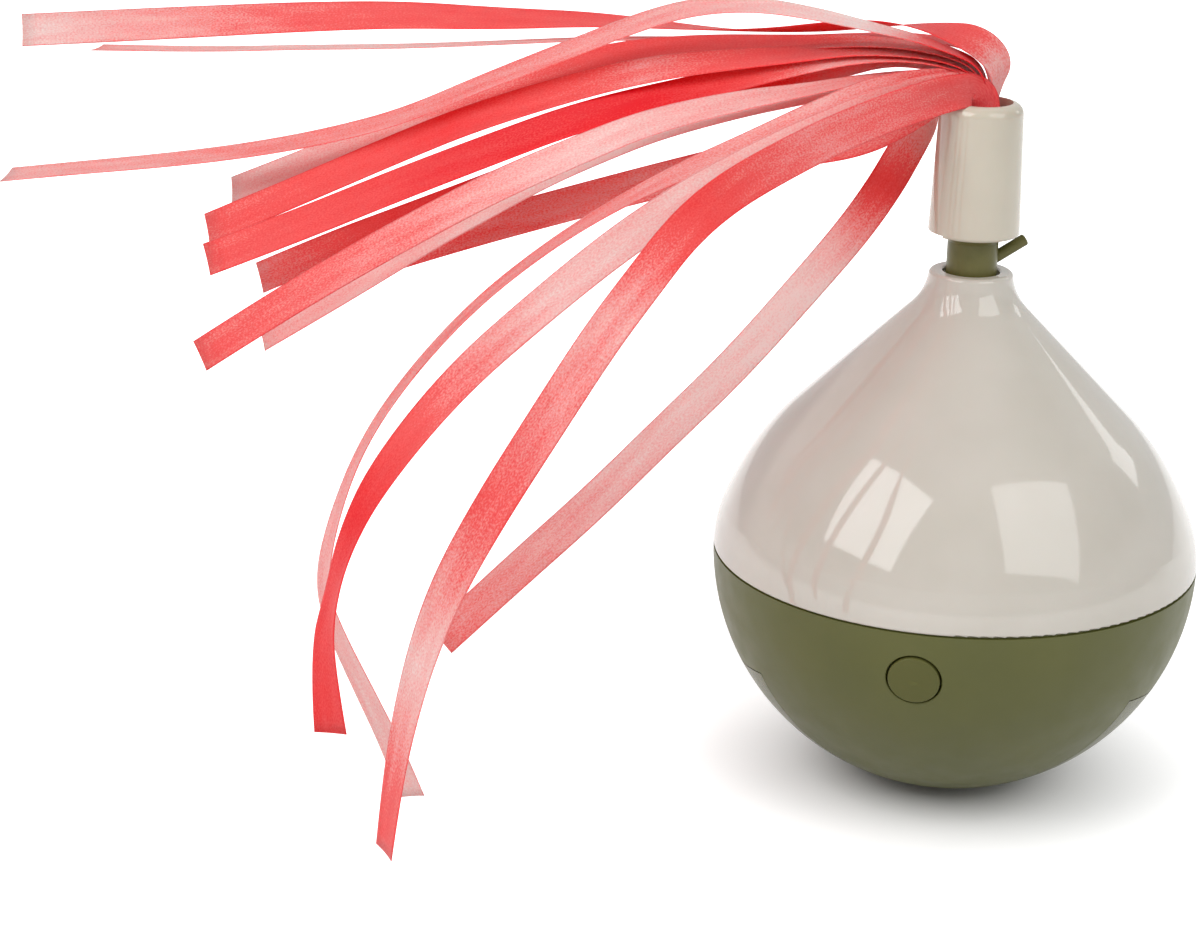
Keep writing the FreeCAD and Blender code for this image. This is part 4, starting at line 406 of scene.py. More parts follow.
class Finish(Enum):
    """Every finish on the toy, by the record's slot that it fills."""

    CREAM_SHELL = Moulded("cream_shell", screen(206, 200, 190), screen(201, 195, 184), smooth=0.05,
                          rough=0.09, grain_depth=0.0015 * MM, coat=0.3, glow=0.04)
    CREAM_CAP = Moulded("cream_cap", screen(204, 196, 179), screen(198, 189, 171), smooth=0.09,
                        rough=0.15, grain_depth=0.002 * MM, coat=0.1, glow=0.08)
    GREEN_SHELL = Moulded("green_shell", screen(91, 92, 40), screen(85, 87, 36), smooth=0.34,
                          rough=0.44, grain_size=0.22 * MM, grain_depth=0.006 * MM, specular=0.42)
    GREEN_DOOR = Moulded("green_door", screen(94, 94, 50), screen(88, 89, 46), smooth=0.22,
                         rough=0.32, grain_size=0.22 * MM, grain_depth=0.006 * MM, specular=0.5)
    GREEN_BUTTON = Moulded("green_button", screen(93, 93, 47), screen(87, 88, 43), smooth=0.36,
                           rough=0.46, grain_size=0.22 * MM, grain_depth=0.006 * MM, specular=0.25)
    GREEN_SPINDLE = Moulded("green_spindle", screen(106, 102, 58), screen(94, 93, 50), smooth=0.28,
                            rough=0.4, cloud_size=4 * MM, grain_depth=0.012 * MM, specular=0.25)
    SCREW_STEEL = Metal("screw_steel", screen(176, 176, 178), screen(132, 132, 136))
    CELL_JACKET = CellJacket("cell_jacket", screen(28, 28, 32), screen(190, 122, 58),
                             screen(190, 190, 192))
    CONTACT_METAL = Metal("contact_metal", screen(205, 200, 188), screen(172, 164, 148),
                          grain=(1.0, 12.0, 1.0))
    MOTOR_CAN = Metal("motor_can", screen(186, 188, 190), screen(150, 152, 156), grain=(9.0, 9.0, 1.0))
    SHAFT_STEEL = Metal("shaft_steel", screen(200, 202, 206), screen(168, 170, 176), smooth=0.12, rough=0.24)
    PINION_BRASS = Metal("pinion_brass", screen(212, 178, 96), screen(176, 138, 66), smooth=0.16, rough=0.32)
    GEAR_WHITE = Moulded("gear_white", screen(228, 227, 220), screen(218, 216, 206), smooth=0.28,
                         rough=0.42, cloud_size=5 * MM, glow=0.1)
    GEARBOX_PLASTIC = Moulded("gearbox_plastic", screen(44, 44, 47), screen(36, 36, 39), smooth=0.36,
                              rough=0.52, grain_depth=0.01 * MM)
    ANCHOR_PLASTIC = Moulded("anchor_plastic", screen(214, 208, 196), screen(202, 195, 180), smooth=0.3,
                             rough=0.44, cloud_size=4 * MM)
    CIRCUIT_BOARD = Laminate("circuit_board", screen(22, 84, 52), screen(54, 126, 72))
    COMPONENT_BLACK = Moulded("component_black", screen(30, 30, 32), screen(42, 42, 44), smooth=0.4,
                              rough=0.6, cloud_size=2 * MM, grain_depth=0.02 * MM)
    SENSOR_CAN = Metal("sensor_can", screen(172, 170, 160), screen(120, 116, 104), grain=(1.0, 1.0, 1.0))


def paint(finish: Finish, *nodes: str) -> None:
    """Give CAD nodes a finish in all their slots.

    Args:
        finish: The finish.
        nodes: Names of the nodes.
    """
    name = finish.value.name
    material = bpy.data.materials.get(name + "_look")
    if material is None:
        material = finish.value.material()
        material.name = name + "_look"
    for node in nodes:
        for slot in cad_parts[node].material_slots:
            slot.material = material
    log.info("%s on %s", name, ", ".join(nodes))


# The toy's sub-assemblies

@dataclass
class Ribbon:
    """One satin ribbon, from the anchor in the cap to its free end.

    Its route is in metres from the middle of the cap's mouth. Its roll is 0 where its face looks
    forward and 90 where it looks up. Its painted light, from its root to its end in even steps, is
    painted shade and painted sheen in its colour: -1 where it is painted deep red shade and 1 where
    it is painted a pale sheen.
    """

    label: str
    length: float
    route: list[Point]
    rolls: list[float]
    painted_light_steps: list[float]

    UV_NAME = "Cloth"
    SLOT = "red_satin"


# The last list of each ribbon is painted light: painted sheen above 0 and painted shade below 0, at even
# steps from root to end.
RIBBONS = [
    Ribbon("ribbon_01", 0.216,
           [(0.0019, 0.0013, -0.01038), (0.0019, 0.0013, -0.00458), (0.0024, 0.0014, 0.0018),
            (0.0027, 0.0015, 0.0065), (-0.0018, 0.0026, 0.0102), (-0.0097, 0.007, 0.0112),
            (-0.0185, 0.0115, 0.0105), (-0.0273, 0.0145, 0.0089), (-0.0381, 0.018, 0.0071),
            (-0.0509, 0.0215, 0.0063), (-0.0698, 0.027, 0.0062), (-0.0891, 0.032, 0.0046),
            (-0.109, 0.037, 0.0037), (-0.1292, 0.041, 0.0017), (-0.1496, 0.044, -0.0006),
            (-0.1682, 0.046, -0.0026), (-0.1863, 0.047, -0.0044)],
           [90, 90, 80, 44, 44, 88, 112, 116, 106, 94, 76, 60, 46, 36, 28, 20, 18],
           [0, 0.5, -0.75, 0, -0.25, 0, 0.75]),
    Ribbon("ribbon_02", 0.193,
           [(0.00145, 0.0013, -0.01038), (0.00145, 0.0013, -0.00458), (0.0015, 0.0016, 0.0019),
            (-0.0004, 0.0043, 0.0067), (-0.0053, 0.0085, 0.0083), (-0.0141, 0.0128, 0.0083),
            (-0.0237, 0.015, 0.0074), (-0.0344, 0.0175, 0.0061), (-0.0508, 0.021, 0.0046),
            (-0.0693, 0.0245, 0.0032), (-0.0883, 0.028, 0.0009), (-0.1079, 0.032, -0.0014),
            (-0.128, 0.036, -0.0032), (-0.1483, 0.039, -0.0051), (-0.1693, 0.041, -0.006)],
           [90, 90, 90, 90, 90, 90, 92, 93, 94, 94, 93, 92, 92, 91, 90],
           [0, -0.5, -0.5, 0, 0.5, 0.75, 0.5]),
    Ribbon("ribbon_03", 0.208,
           [(0.001, 0.0013, -0.01038), (0.001, 0.0013, -0.00458), (0.001, 0.0012, 0.0017),
            (-0.001, 0.0012, 0.0062), (-0.006, 0.0006, 0.0083), (-0.012, 0.0006, 0.0101),
            (-0.0197, 0.0012, 0.0115), (-0.0284, 0.0022, 0.013), (-0.0389, 0.004, 0.014),
            (-0.0494, 0.0055, 0.0131), (-0.0591, 0.0075, 0.0099), (-0.0728, 0.01, 0.0036),
            (-0.0891, 0.012, -0.0037), (-0.1041, 0.014, -0.011), (-0.1195, 0.016, -0.0159),
            (-0.1351, 0.018, -0.0197), (-0.1511, 0.02, -0.0227), (-0.1673, 0.022, -0.0253),
            (-0.1826, 0.024, -0.0279)],
           [90, 90, 90, 90, 90, 88, 85, 80, 76, 70, 66, 66, 68, 70, 72, 74, 76, 78, 78],
           [-0.5, -1, 1, 0.5, 0.25, 0.25, 0.5]),
    Ribbon("ribbon_04", 0.163,
           [(0.00055, 0.0013, -0.01038), (0.00055, 0.0013, -0.00458), (0.0005, 0.0013, 0.0015),
            (-0.0016, 0.0019, 0.0056), (-0.0067, 0.0032, 0.0073), (-0.0146, 0.0052, 0.0082),
            (-0.0233, 0.0074, 0.0079), (-0.0339, 0.0102, 0.0065), (-0.0501, 0.0144, 0.0048),
            (-0.0646, 0.0165, 0.0024), (-0.0766, 0.0185, -0.0017), (-0.0906, 0.0205, -0.0076),
            (-0.1059, 0.0225, -0.0139), (-0.1234, 0.024, -0.0219), (-0.1388, 0.025, -0.0287)],
           [90, 90, 90, 90, 90, 86, 80, 74, 66, 60, 56, 52, 50, 50, 50],
           [-0.5, -0.5, 0.5, -0.25, -0.25, 0.25, 0.75]),
    Ribbon("ribbon_05", 0.164,
           [(0.0001, 0.0013, -0.01038), (0.0001, 0.0013, -0.00458), (0.0, 0.0013, 0.0013),
            (-0.0023, 0.0014, 0.0051), (-0.0076, 0.0018, 0.0067), (-0.0153, 0.0028, 0.0072),
            (-0.0231, 0.0038, 0.007), (-0.0317, 0.0047, 0.0057), (-0.0471, 0.0056, 0.0035),
            (-0.0571, 0.007, 0.0015), (-0.0687, 0.0085, -0.0017), (-0.0888, 0.0105, -0.009),
            (-0.1037, 0.012, -0.0159), (-0.1227, 0.0135, -0.0252), (-0.1409, 0.015, -0.0339)],
           [90, 90, 90, 90, 90, 86, 80, 72, 62, 54, 48, 44, 40, 38, 36],
           [-0.5, -0.75, 0.25, -0.25, 0.25, -0.5, 0]),
    Ribbon("ribbon_06", 0.161,
           [(-0.00035, 0.0013, -0.01038), (-0.00035, 0.0013, -0.00458), (-0.0004, 0.0013, 0.0013),
            (-0.0028, 0.0013, 0.0045), (-0.0082, 0.0012, 0.0061), (-0.0153, 0.0017, 0.0065),
            (-0.0229, 0.0022, 0.0059), (-0.0315, 0.0028, 0.0042), (-0.0494, 0.0036, -0.0009),
            (-0.0695, 0.0046, -0.007), (-0.086, 0.0056, -0.0141), (-0.1034, 0.0064, -0.0218),
            (-0.1227, 0.0072, -0.0308), (-0.1391, 0.008, -0.0379)],
           [90, 90, 90, 90, 90, 86, 78, 66, 52, 42, 36, 32, 30, 28],
           [-0.5, -0.75, 0.25, 0.5, -1, -0.75, 0]),
    Ribbon("ribbon_07", 0.154,
           [(-0.0008, 0.0013, -0.01038), (-0.0008, 0.0013, -0.00458), (-0.001, 0.0013, 0.0012),
            (-0.0035, 0.0015, 0.004), (-0.0093, 0.0028, 0.005), (-0.0162, 0.0052, 0.005),
            (-0.0231, 0.0074, 0.0029), (-0.0317, 0.009, -0.0001), (-0.0493, 0.011, -0.0058),
            (-0.0673, 0.0124, -0.0132), (-0.0856, 0.0136, -0.0221), (-0.1043, 0.0146, -0.0304),
            (-0.1177, 0.0154, -0.0363), (-0.1313, 0.016, -0.043)],
           [90, 90, 90, 90, 90, 86, 80, 70, 58, 48, 42, 38, 34, 32],
           [-0.5, -0.25, 0.5, 0.5, -1, -0.5, 0.25]),
    Ribbon("ribbon_08", 0.161,
           [(-0.00125, 0.0013, -0.01038), (-0.00125, 0.0013, -0.00458), (-0.0014, 0.0013, 0.0011),
            (-0.004, 0.0012, 0.0036), (-0.0098, 0.0008, 0.0041), (-0.0162, -0.0013, 0.0037),
            (-0.0225, -0.0026, 0.0027), (-0.0309, -0.0032, 0.0008), (-0.041, -0.004, -0.0012),
            (-0.0563, -0.005, -0.0054), (-0.0682, -0.006, -0.0107), (-0.0819, -0.007, -0.0172),
            (-0.0942, -0.0076, -0.0242), (-0.1059, -0.0082, -0.0312), (-0.121, -0.009, -0.0408),
            (-0.1356, -0.01, -0.0509)],
           [90, 90, 90, 90, 90, 88, 84, 78, 66, 54, 44, 38, 34, 32, 30, 30],
           [-0.5, 0, 0.25, 0.5, 0.75, 0.25, 0]),
    Ribbon("ribbon_09", 0.151,
           [(-0.0017, 0.0013, -0.01038), (-0.0017, 0.0013, -0.00458), (-0.0018, 0.0013, 0.001),
            (-0.0045, 0.0012, 0.0032), (-0.0104, 0.0012, 0.0029), (-0.0167, 0.0016, 0.0018),
            (-0.0235, 0.0019, 0.0002), (-0.0312, 0.002, -0.0016), (-0.0406, 0.0021, -0.0035),
            (-0.0554, 0.0023, -0.0079), (-0.0659, 0.0025, -0.0124), (-0.0756, 0.0028, -0.0171),
            (-0.0873, 0.0032, -0.0242), (-0.0988, 0.0036, -0.0315), (-0.1132, 0.004, -0.0414),
            (-0.128, 0.0044, -0.0511)],
           [90, 90, 90, 90, 90, 88, 84, 78, 68, 58, 50, 44, 42, 42, 44, 46],
           [-0.5, -0.25, 0.5, 1, 1, 0.75, 0.5]),
    Ribbon("ribbon_10", 0.140,
           [(0.0, -0.0026, -0.01038), (0.0, -0.0026, -0.00458), (-0.0003, -0.0025, -0.001),
            (-0.0007, -0.002, 0.0012), (-0.0028, -0.0017, 0.002), (-0.0074, -0.0024, 0.0012),
            (-0.0128, -0.0052, -0.0024), (-0.0202, -0.004, -0.0068), (-0.0304, -0.003, -0.0092),
            (-0.0417, -0.0012, -0.0125), (-0.0527, 0.0012, -0.0163), (-0.0659, 0.004, -0.021),
            (-0.0792, 0.0065, -0.0258), (-0.0918, 0.009, -0.0306), (-0.1046, 0.0115, -0.0357),
            (-0.1174, 0.014, -0.0409)],
           [0, 0, 12, 34, 36, 30, 24, 22, 22, 24, 24, 26, 26, 28, 28, 28],
           [-0.75, -0.5, 0.25, 0, 0.25, 0.25, 0]),
    Ribbon("ribbon_11", 0.205,
           [(0.0, -0.00305, -0.01038), (0.0, -0.00305, -0.00458), (-0.0003, -0.0028, -0.0009),
            (-0.0006, -0.0024, 0.0014), (-0.0025, -0.0021, 0.0026), (-0.007, -0.003, 0.003),
            (-0.017, -0.012, 0.0029), (-0.0264, -0.018, -0.0004), (-0.0374, -0.023, -0.0047),
            (-0.0483, -0.028, -0.0087), (-0.0592, -0.0325, -0.0142), (-0.07, -0.0365, -0.0213),
            (-0.0809, -0.04, -0.0305), (-0.0912, -0.043, -0.0426), (-0.0984, -0.045, -0.0542),
            (-0.103, -0.0465, -0.0676), (-0.1047, -0.0475, -0.0781), (-0.1023, -0.048, -0.0859),
            (-0.0969, -0.049, -0.0964), (-0.0916, -0.05, -0.1066), (-0.0885, -0.0505, -0.1144)],
           [0, 0, 12, 34, 36, 32, 26, 36, 58, 72, 80, 82, 80, 78, 74, 66, 56, 44, 38, 34, 30],
           [-0.5, -0.25, 0.5, 0.25, 0.25, 0.5, 0.75]),
    Ribbon("ribbon_12", 0.185,
           [(0.0, -0.0035, -0.01038), (0.0, -0.0035, -0.00458), (-0.0002, -0.0032, -0.0008),
            (-0.0004, -0.0028, 0.0014), (-0.0022, -0.0025, 0.0025), (-0.0066, -0.0042, 0.0024),
            (-0.0159, -0.016, 0.0017), (-0.0228, -0.023, -0.0004), (-0.0311, -0.03, -0.0033),
            (-0.0393, -0.0365, -0.0068), (-0.0466, -0.042, -0.0105), (-0.0554, -0.048, -0.0161),
            (-0.0662, -0.0545, -0.0248), (-0.0794, -0.061, -0.0367), (-0.0904, -0.066, -0.0511),
            (-0.0953, -0.069, -0.0615), (-0.0975, -0.071, -0.0711), (-0.0986, -0.0725, -0.0801),
            (-0.0969, -0.074, -0.0929)],
           [0, 0, 10, 34, 36, 30, 16, 16, 24, 28, 30, 30, 32, 36, 44, 56, 62, 40, 20],
           [-0.5, 0, 0.5, 0.75, 0.75, -0.75, -0.5]),
    Ribbon("ribbon_13", 0.201,
           [(0.0, -0.00395, -0.01038), (0.0, -0.00395, -0.00458), (0.0, -0.0036, -0.0008),
            (-0.0002, -0.0031, 0.0015), (-0.0019, -0.0029, 0.0024), (-0.0064, -0.0058, 0.002),
            (-0.0157, -0.0205, 0.0011), (-0.0239, -0.033, -0.0005), (-0.0321, -0.046, -0.003),
            (-0.0384, -0.057, -0.0054), (-0.0436, -0.066, -0.0092), (-0.0481, -0.074, -0.0149),
            (-0.0537, -0.081, -0.0225), (-0.0608, -0.087, -0.0343), (-0.0679, -0.091, -0.0464),
            (-0.0736, -0.094, -0.0575), (-0.0773, -0.096, -0.0679), (-0.0799, -0.0975, -0.0792),
            (-0.0816, -0.0985, -0.0901), (-0.0827, -0.099, -0.1004)],
           [0, 0, 6, 32, 36, 30, 14, 12, 16, 18, 20, 18, 16, 18, 22, 28, 38, 46, 52, 56],
           [-0.5, -0.5, 0, 0.25, -0.25, 0.5, 0, 0.75, -0.25]),
    Ribbon("ribbon_14", 0.147,
           [(-0.00215, 0.0013, -0.01038), (-0.00215, 0.0013, -0.00458), (-0.0023, 0.0014, 0.0006),
            (-0.0041, 0.0019, 0.0021), (-0.009, 0.0032, 0.0019), (-0.0094, 0.0056, -0.0052),
            (-0.0124, 0.005, -0.0098), (-0.0155, 0.004, -0.016), (-0.0202, 0.0005, -0.0231),
            (-0.0266, -0.004, -0.0309), (-0.0393, -0.014, -0.0453), (-0.0501, -0.023, -0.0553),
            (-0.0616, -0.031, -0.0666), (-0.0733, -0.038, -0.077), (-0.0852, -0.0425, -0.0886)],
           [90, 90, 90, 92, 104, 140, 172, 184, 192, 200, 206, 210, 208, 210, 214],
           [-0.5, -0.25, 0.75, -0.25, 1, 0.75, 0.25]),
]


@dataclass
class RibbonBunch:
    """All the ribbons, and how one is woven along its route."""

    width: float = 6.35 * MM
    thickness: float = 0.2 * MM
    section_sides: int = 20
    edge_fullness: float = 3.0
    steps: int = 8
    cup: float = 0.22 * MM
    flat_root: float = 25 * MM

    def follow(self, points: list[Point]) -> list[Vector]:
        """Read points from the smooth spline that some control points pull into shape.

        Args:
            points: The control points.

        Returns:
            Points along the spline.
        """
        curve = bpy.data.curves.new("route", "CURVE")
        curve.dimensions = "3D"
        curve.resolution_u = self.steps
        spline = curve.splines.new("NURBS")
        spline.points.add(len(points) - 1)
        for knot, point in zip(spline.points, points):
            knot.co = (*point, 1.0)
        spline.order_u = 3
        spline.use_endpoint_u = True
        line = bpy.data.objects.new("route", curve)
        bpy.context.scene.collection.objects.link(line)
        mesh = bpy.data.meshes.new_from_object(line.evaluated_get(bpy.context.evaluated_depsgraph_get()))
        places = [vertex.co.copy() for vertex in mesh.vertices]
        bpy.data.objects.remove(line)
        bpy.data.curves.remove(curve)
        bpy.data.meshes.remove(mesh)
        return places

    def section(self, mesh: bmesh.types.BMesh) -> list[bmesh.types.BMEdge]:
        """Make the flat section of a ribbon, and note each corner's place across it.

        Args:
            mesh: Mesh that gets the section.

        Returns:
            The section's edges.
        """
        made = bmesh.ops.create_circle(mesh, segments=self.section_sides, radius=1.0)
        across = mesh.verts.layers.float["across"]
        lift = mesh.verts.layers.float["lift"]
        for corner in made["verts"]:
            fullness = min(1.0, abs(corner.co.y) * self.edge_fullness)
            corner[across] = corner.co.x * self.width / 2
            corner[lift] = math.copysign(fullness, corner.co.y) * self.thickness / 2
        return list(mesh.edges)

    def painted_light_at(self, painted_light_steps: list[float], share: float) -> float:
        """Read the painted sheen or painted shade at one place.

        Args:
            painted_light_steps: Painted sheen and painted shade at even steps along the ribbon.
            share: Share of the ribbon's length before the place.

        Returns:
            The painted light there, above 0 for painted sheen and below 0 for painted shade.
        """
        place = share * (len(painted_light_steps) - 1)
        start = min(int(place), len(painted_light_steps) - 2)
        return painted_light_steps[start] + (painted_light_steps[start + 1] - painted_light_steps[start]) * (place - start)

    def weave(self, line: list[Vector], rolls: list[float], painted_light_steps: list[float]) -> bmesh.types.BMesh:
        """Draw the section along a line.

        Args:
            line: Points along the ribbon's middle.
            rolls: Roll at each point, in degrees.
            painted_light_steps: Painted sheen and painted shade at even steps along the line.

        Returns:
            The closed strip, with its map in metres and painted sheen and shade on its corners.
        """
        mesh = bmesh.new()
        layers = [mesh.verts.layers.float.new(name) for name in ("across", "lift", "along")]
        painted_light = mesh.verts.layers.float.new(SatinWeave.PAINTED_LIGHT)
        ring = self.section(mesh)
        caps = [list(ring)]
        gone = 0.0
        for number, centre in enumerate(line):
            if number:
                grown = bmesh.ops.extrude_edge_only(mesh, edges=ring)["geom"]
                corners = {item for item in grown if isinstance(item, bmesh.types.BMVert)}
                ring = [item for item in grown if isinstance(item, bmesh.types.BMEdge)
                        and item.verts[0] in corners and item.verts[1] in corners]
                gone += (centre - line[number - 1]).length
            else:
                corners = set(mesh.verts)
            self.set_ring(corners, layers, self.stand(line, rolls, number), gone)
            # Each corner carries the painted sheen or painted shade of its place.
            for corner in corners:
                corner[painted_light] = self.painted_light_at(painted_light_steps, number / (len(line) - 1))
        caps.append(ring)
        for edges in caps:
            bmesh.ops.edgeloop_fill(mesh, edges=edges)
        bmesh.ops.recalc_face_normals(mesh, faces=mesh.faces)
        cloth = mesh.loops.layers.uv.new(Ribbon.UV_NAME)
        across, _, along = layers
        for face in mesh.faces:
            for loop in face.loops:
                loop[cloth].uv = (loop.vert[across], loop.vert[along])
            face.smooth = len(face.verts) == 4
        return mesh

    def stand(self, line: list[Vector], rolls: list[float], number: int) -> Matrix:
        """Find how the section stands at one point of a line.

        Args:
            line: Points along the ribbon's middle.
            rolls: Roll at each point, in degrees.
            number: Which point.

        Returns:
            A frame whose columns run across, off the face and along the ribbon, at the point.
        """
        last = len(line) - 1
        along = (line[min(number + 1, last)] - line[max(number - 1, 0)]).normalized()
        upright = Vector((0, 1, 0)).cross(along).normalized()
        level = along.cross(upright)
        roll = math.radians(rolls[number])
        across = upright * math.cos(roll) + level * math.sin(roll)
        off = along.cross(across)
        stand = Matrix((across, off, along)).transposed().to_4x4()
        stand.translation = line[number]
        return stand

    def set_ring(self, corners: set, layers: list, stand: Matrix, gone: float) -> None:
        """Put one ring of corners in its place.

        Args:
            corners: The ring's corners.
            layers: Layers that hold the place across, off the face and along.
            stand: Frame of the section.
            gone: Length of ribbon before the ring.
        """
        across, lift, along = layers
        curl = self.cup * min(1.0, gone / self.flat_root)
        for corner in corners:
            share = corner[across] / (self.width / 2)
            corner.co = stand @ Vector((corner[across], corner[lift] + curl * (0.5 - share * share), 0.0))
            corner[along] = gone

    def build(self) -> None:
        """Weave every ribbon and hang it on the cap."""
        # A coral ground, a pale painted sheen, and a deep red painted shade that also colours the woven
        # edges.
        satin = SatinWeave("red_satin_look", screen(246, 90, 88), screen(255, 210, 206),
                           screen(228, 2, 24), self.width / 2).material()
        mouth = Vector((0.0, 0.0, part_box("ribbon_cap")[1].z))
        for ribbon in RIBBONS:
            line = self.follow([tuple(mouth + Vector(point)) for point in ribbon.route])
            rolls = [place.x for place in self.follow([(roll, 0.0, 0.0) for roll in ribbon.rolls])]
            strip = self.weave(line, rolls, ribbon.painted_light_steps)
            skin = bpy.data.meshes.new("satin_" + ribbon.label)
            strip.to_mesh(skin)
            strip.free()
            skin.materials.append(satin)
            piece = bpy.data.objects.new("satin_" + ribbon.label, skin)
            bpy.context.scene.collection.objects.link(piece)
            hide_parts(ribbon.label)
            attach(piece, "cap")
            measured = sum((end - start).length for start, end in zip(line, line[1:]))
            log.info("%s is %.0f mm long", piece.name, measured / MM)


@dataclass
class Housing:
    """Teardrop top, bowl, battery door and the screws that hold them."""

    def dress(self) -> None:
        """Finish the shells and the screws."""
        paint(Finish.CREAM_SHELL, "upper_housing")
        paint(Finish.GREEN_SHELL, "lower_housing")
        paint(Finish.GREEN_DOOR, "battery_door")
        paint(Finish.SCREW_STEEL, "housing_screws", "door_screws")


@dataclass
class Spindle:
    """Turning spindle with its bush, the cap on it and the ribbons' anchor."""

    def dress(self) -> None:
        """Finish the spindle and what it carries."""
        paint(Finish.GREEN_SPINDLE, "ribbon_spindle")
        paint(Finish.CREAM_CAP, "ribbon_cap")
        paint(Finish.ANCHOR_PLASTIC, "ribbon_anchor")
        paint(Finish.GEAR_WHITE, "neck_bush", "output_gear")


@dataclass
class Drive:
    """Motor, gears and the plates that hold them."""

    def dress(self) -> None:
        """Finish the drive."""
        paint(Finish.MOTOR_CAN, "drive_motor")
        paint(Finish.SHAFT_STEEL, "motor_shaft", "gear_pin", "thrust_washer")
        paint(Finish.PINION_BRASS, "motor_pinion")
        paint(Finish.GEAR_WHITE, "reduction_gear")
        paint(Finish.GEARBOX_PLASTIC, "gearbox_base", "gearbox_cover")
        paint(Finish.SCREW_STEEL, "gearbox_screws")


@dataclass
class Power:
    """Battery cells and the stamped contacts between them."""

    def dress(self) -> None:
        """Finish the cells and the contacts."""
        paint(Finish.CELL_JACKET, "battery_cell_1", "battery_cell_2", "battery_cell_3")
        paint(Finish.CONTACT_METAL, "positive_contact", "negative_contact", "bridge_contact_right",
              "bridge_contact_left")


@dataclass
class Control:
    """Power button, circuit board and the components on it."""

    def dress(self) -> None:
        """Finish the button and the electronics."""
        paint(Finish.GREEN_BUTTON, "power_button")
        paint(Finish.CIRCUIT_BOARD, "control_board")
        paint(Finish.COMPONENT_BLACK, "push_switch", "controller_chip", "capacitor")
        paint(Finish.SENSOR_CAN, "motion_sensor")
        paint(Finish.SCREW_STEEL, "board_screws")


# The studio

@dataclass(frozen=True)
class SoftBox:
    """One flat lamp of the studio."""

    name: str
    place: Point
    aim: Point
    width: float
    height: float
    level: float
    turn: float = 0.0

    def hang(self) -> None:
        """Make the lamp and point it."""
        lamp = bpy.data.lights.new(self.name, "AREA")
        lamp.shape = "RECTANGLE"
        lamp.size = self.width
        lamp.size_y = self.height
        lamp.energy = self.level * self.width * self.height * math.pi
        holder = bpy.data.objects.new(self.name, lamp)
        towards = Vector(self.aim) - Vector(self.place)
        turned = towards.to_track_quat("-Z", "Y").to_matrix()
        turned = turned @ Matrix.Rotation(math.radians(self.turn), 3, "Z")
        holder.matrix_world = Matrix.Translation(self.place) @ turned.to_4x4()
        bpy.context.scene.collection.objects.link(holder)


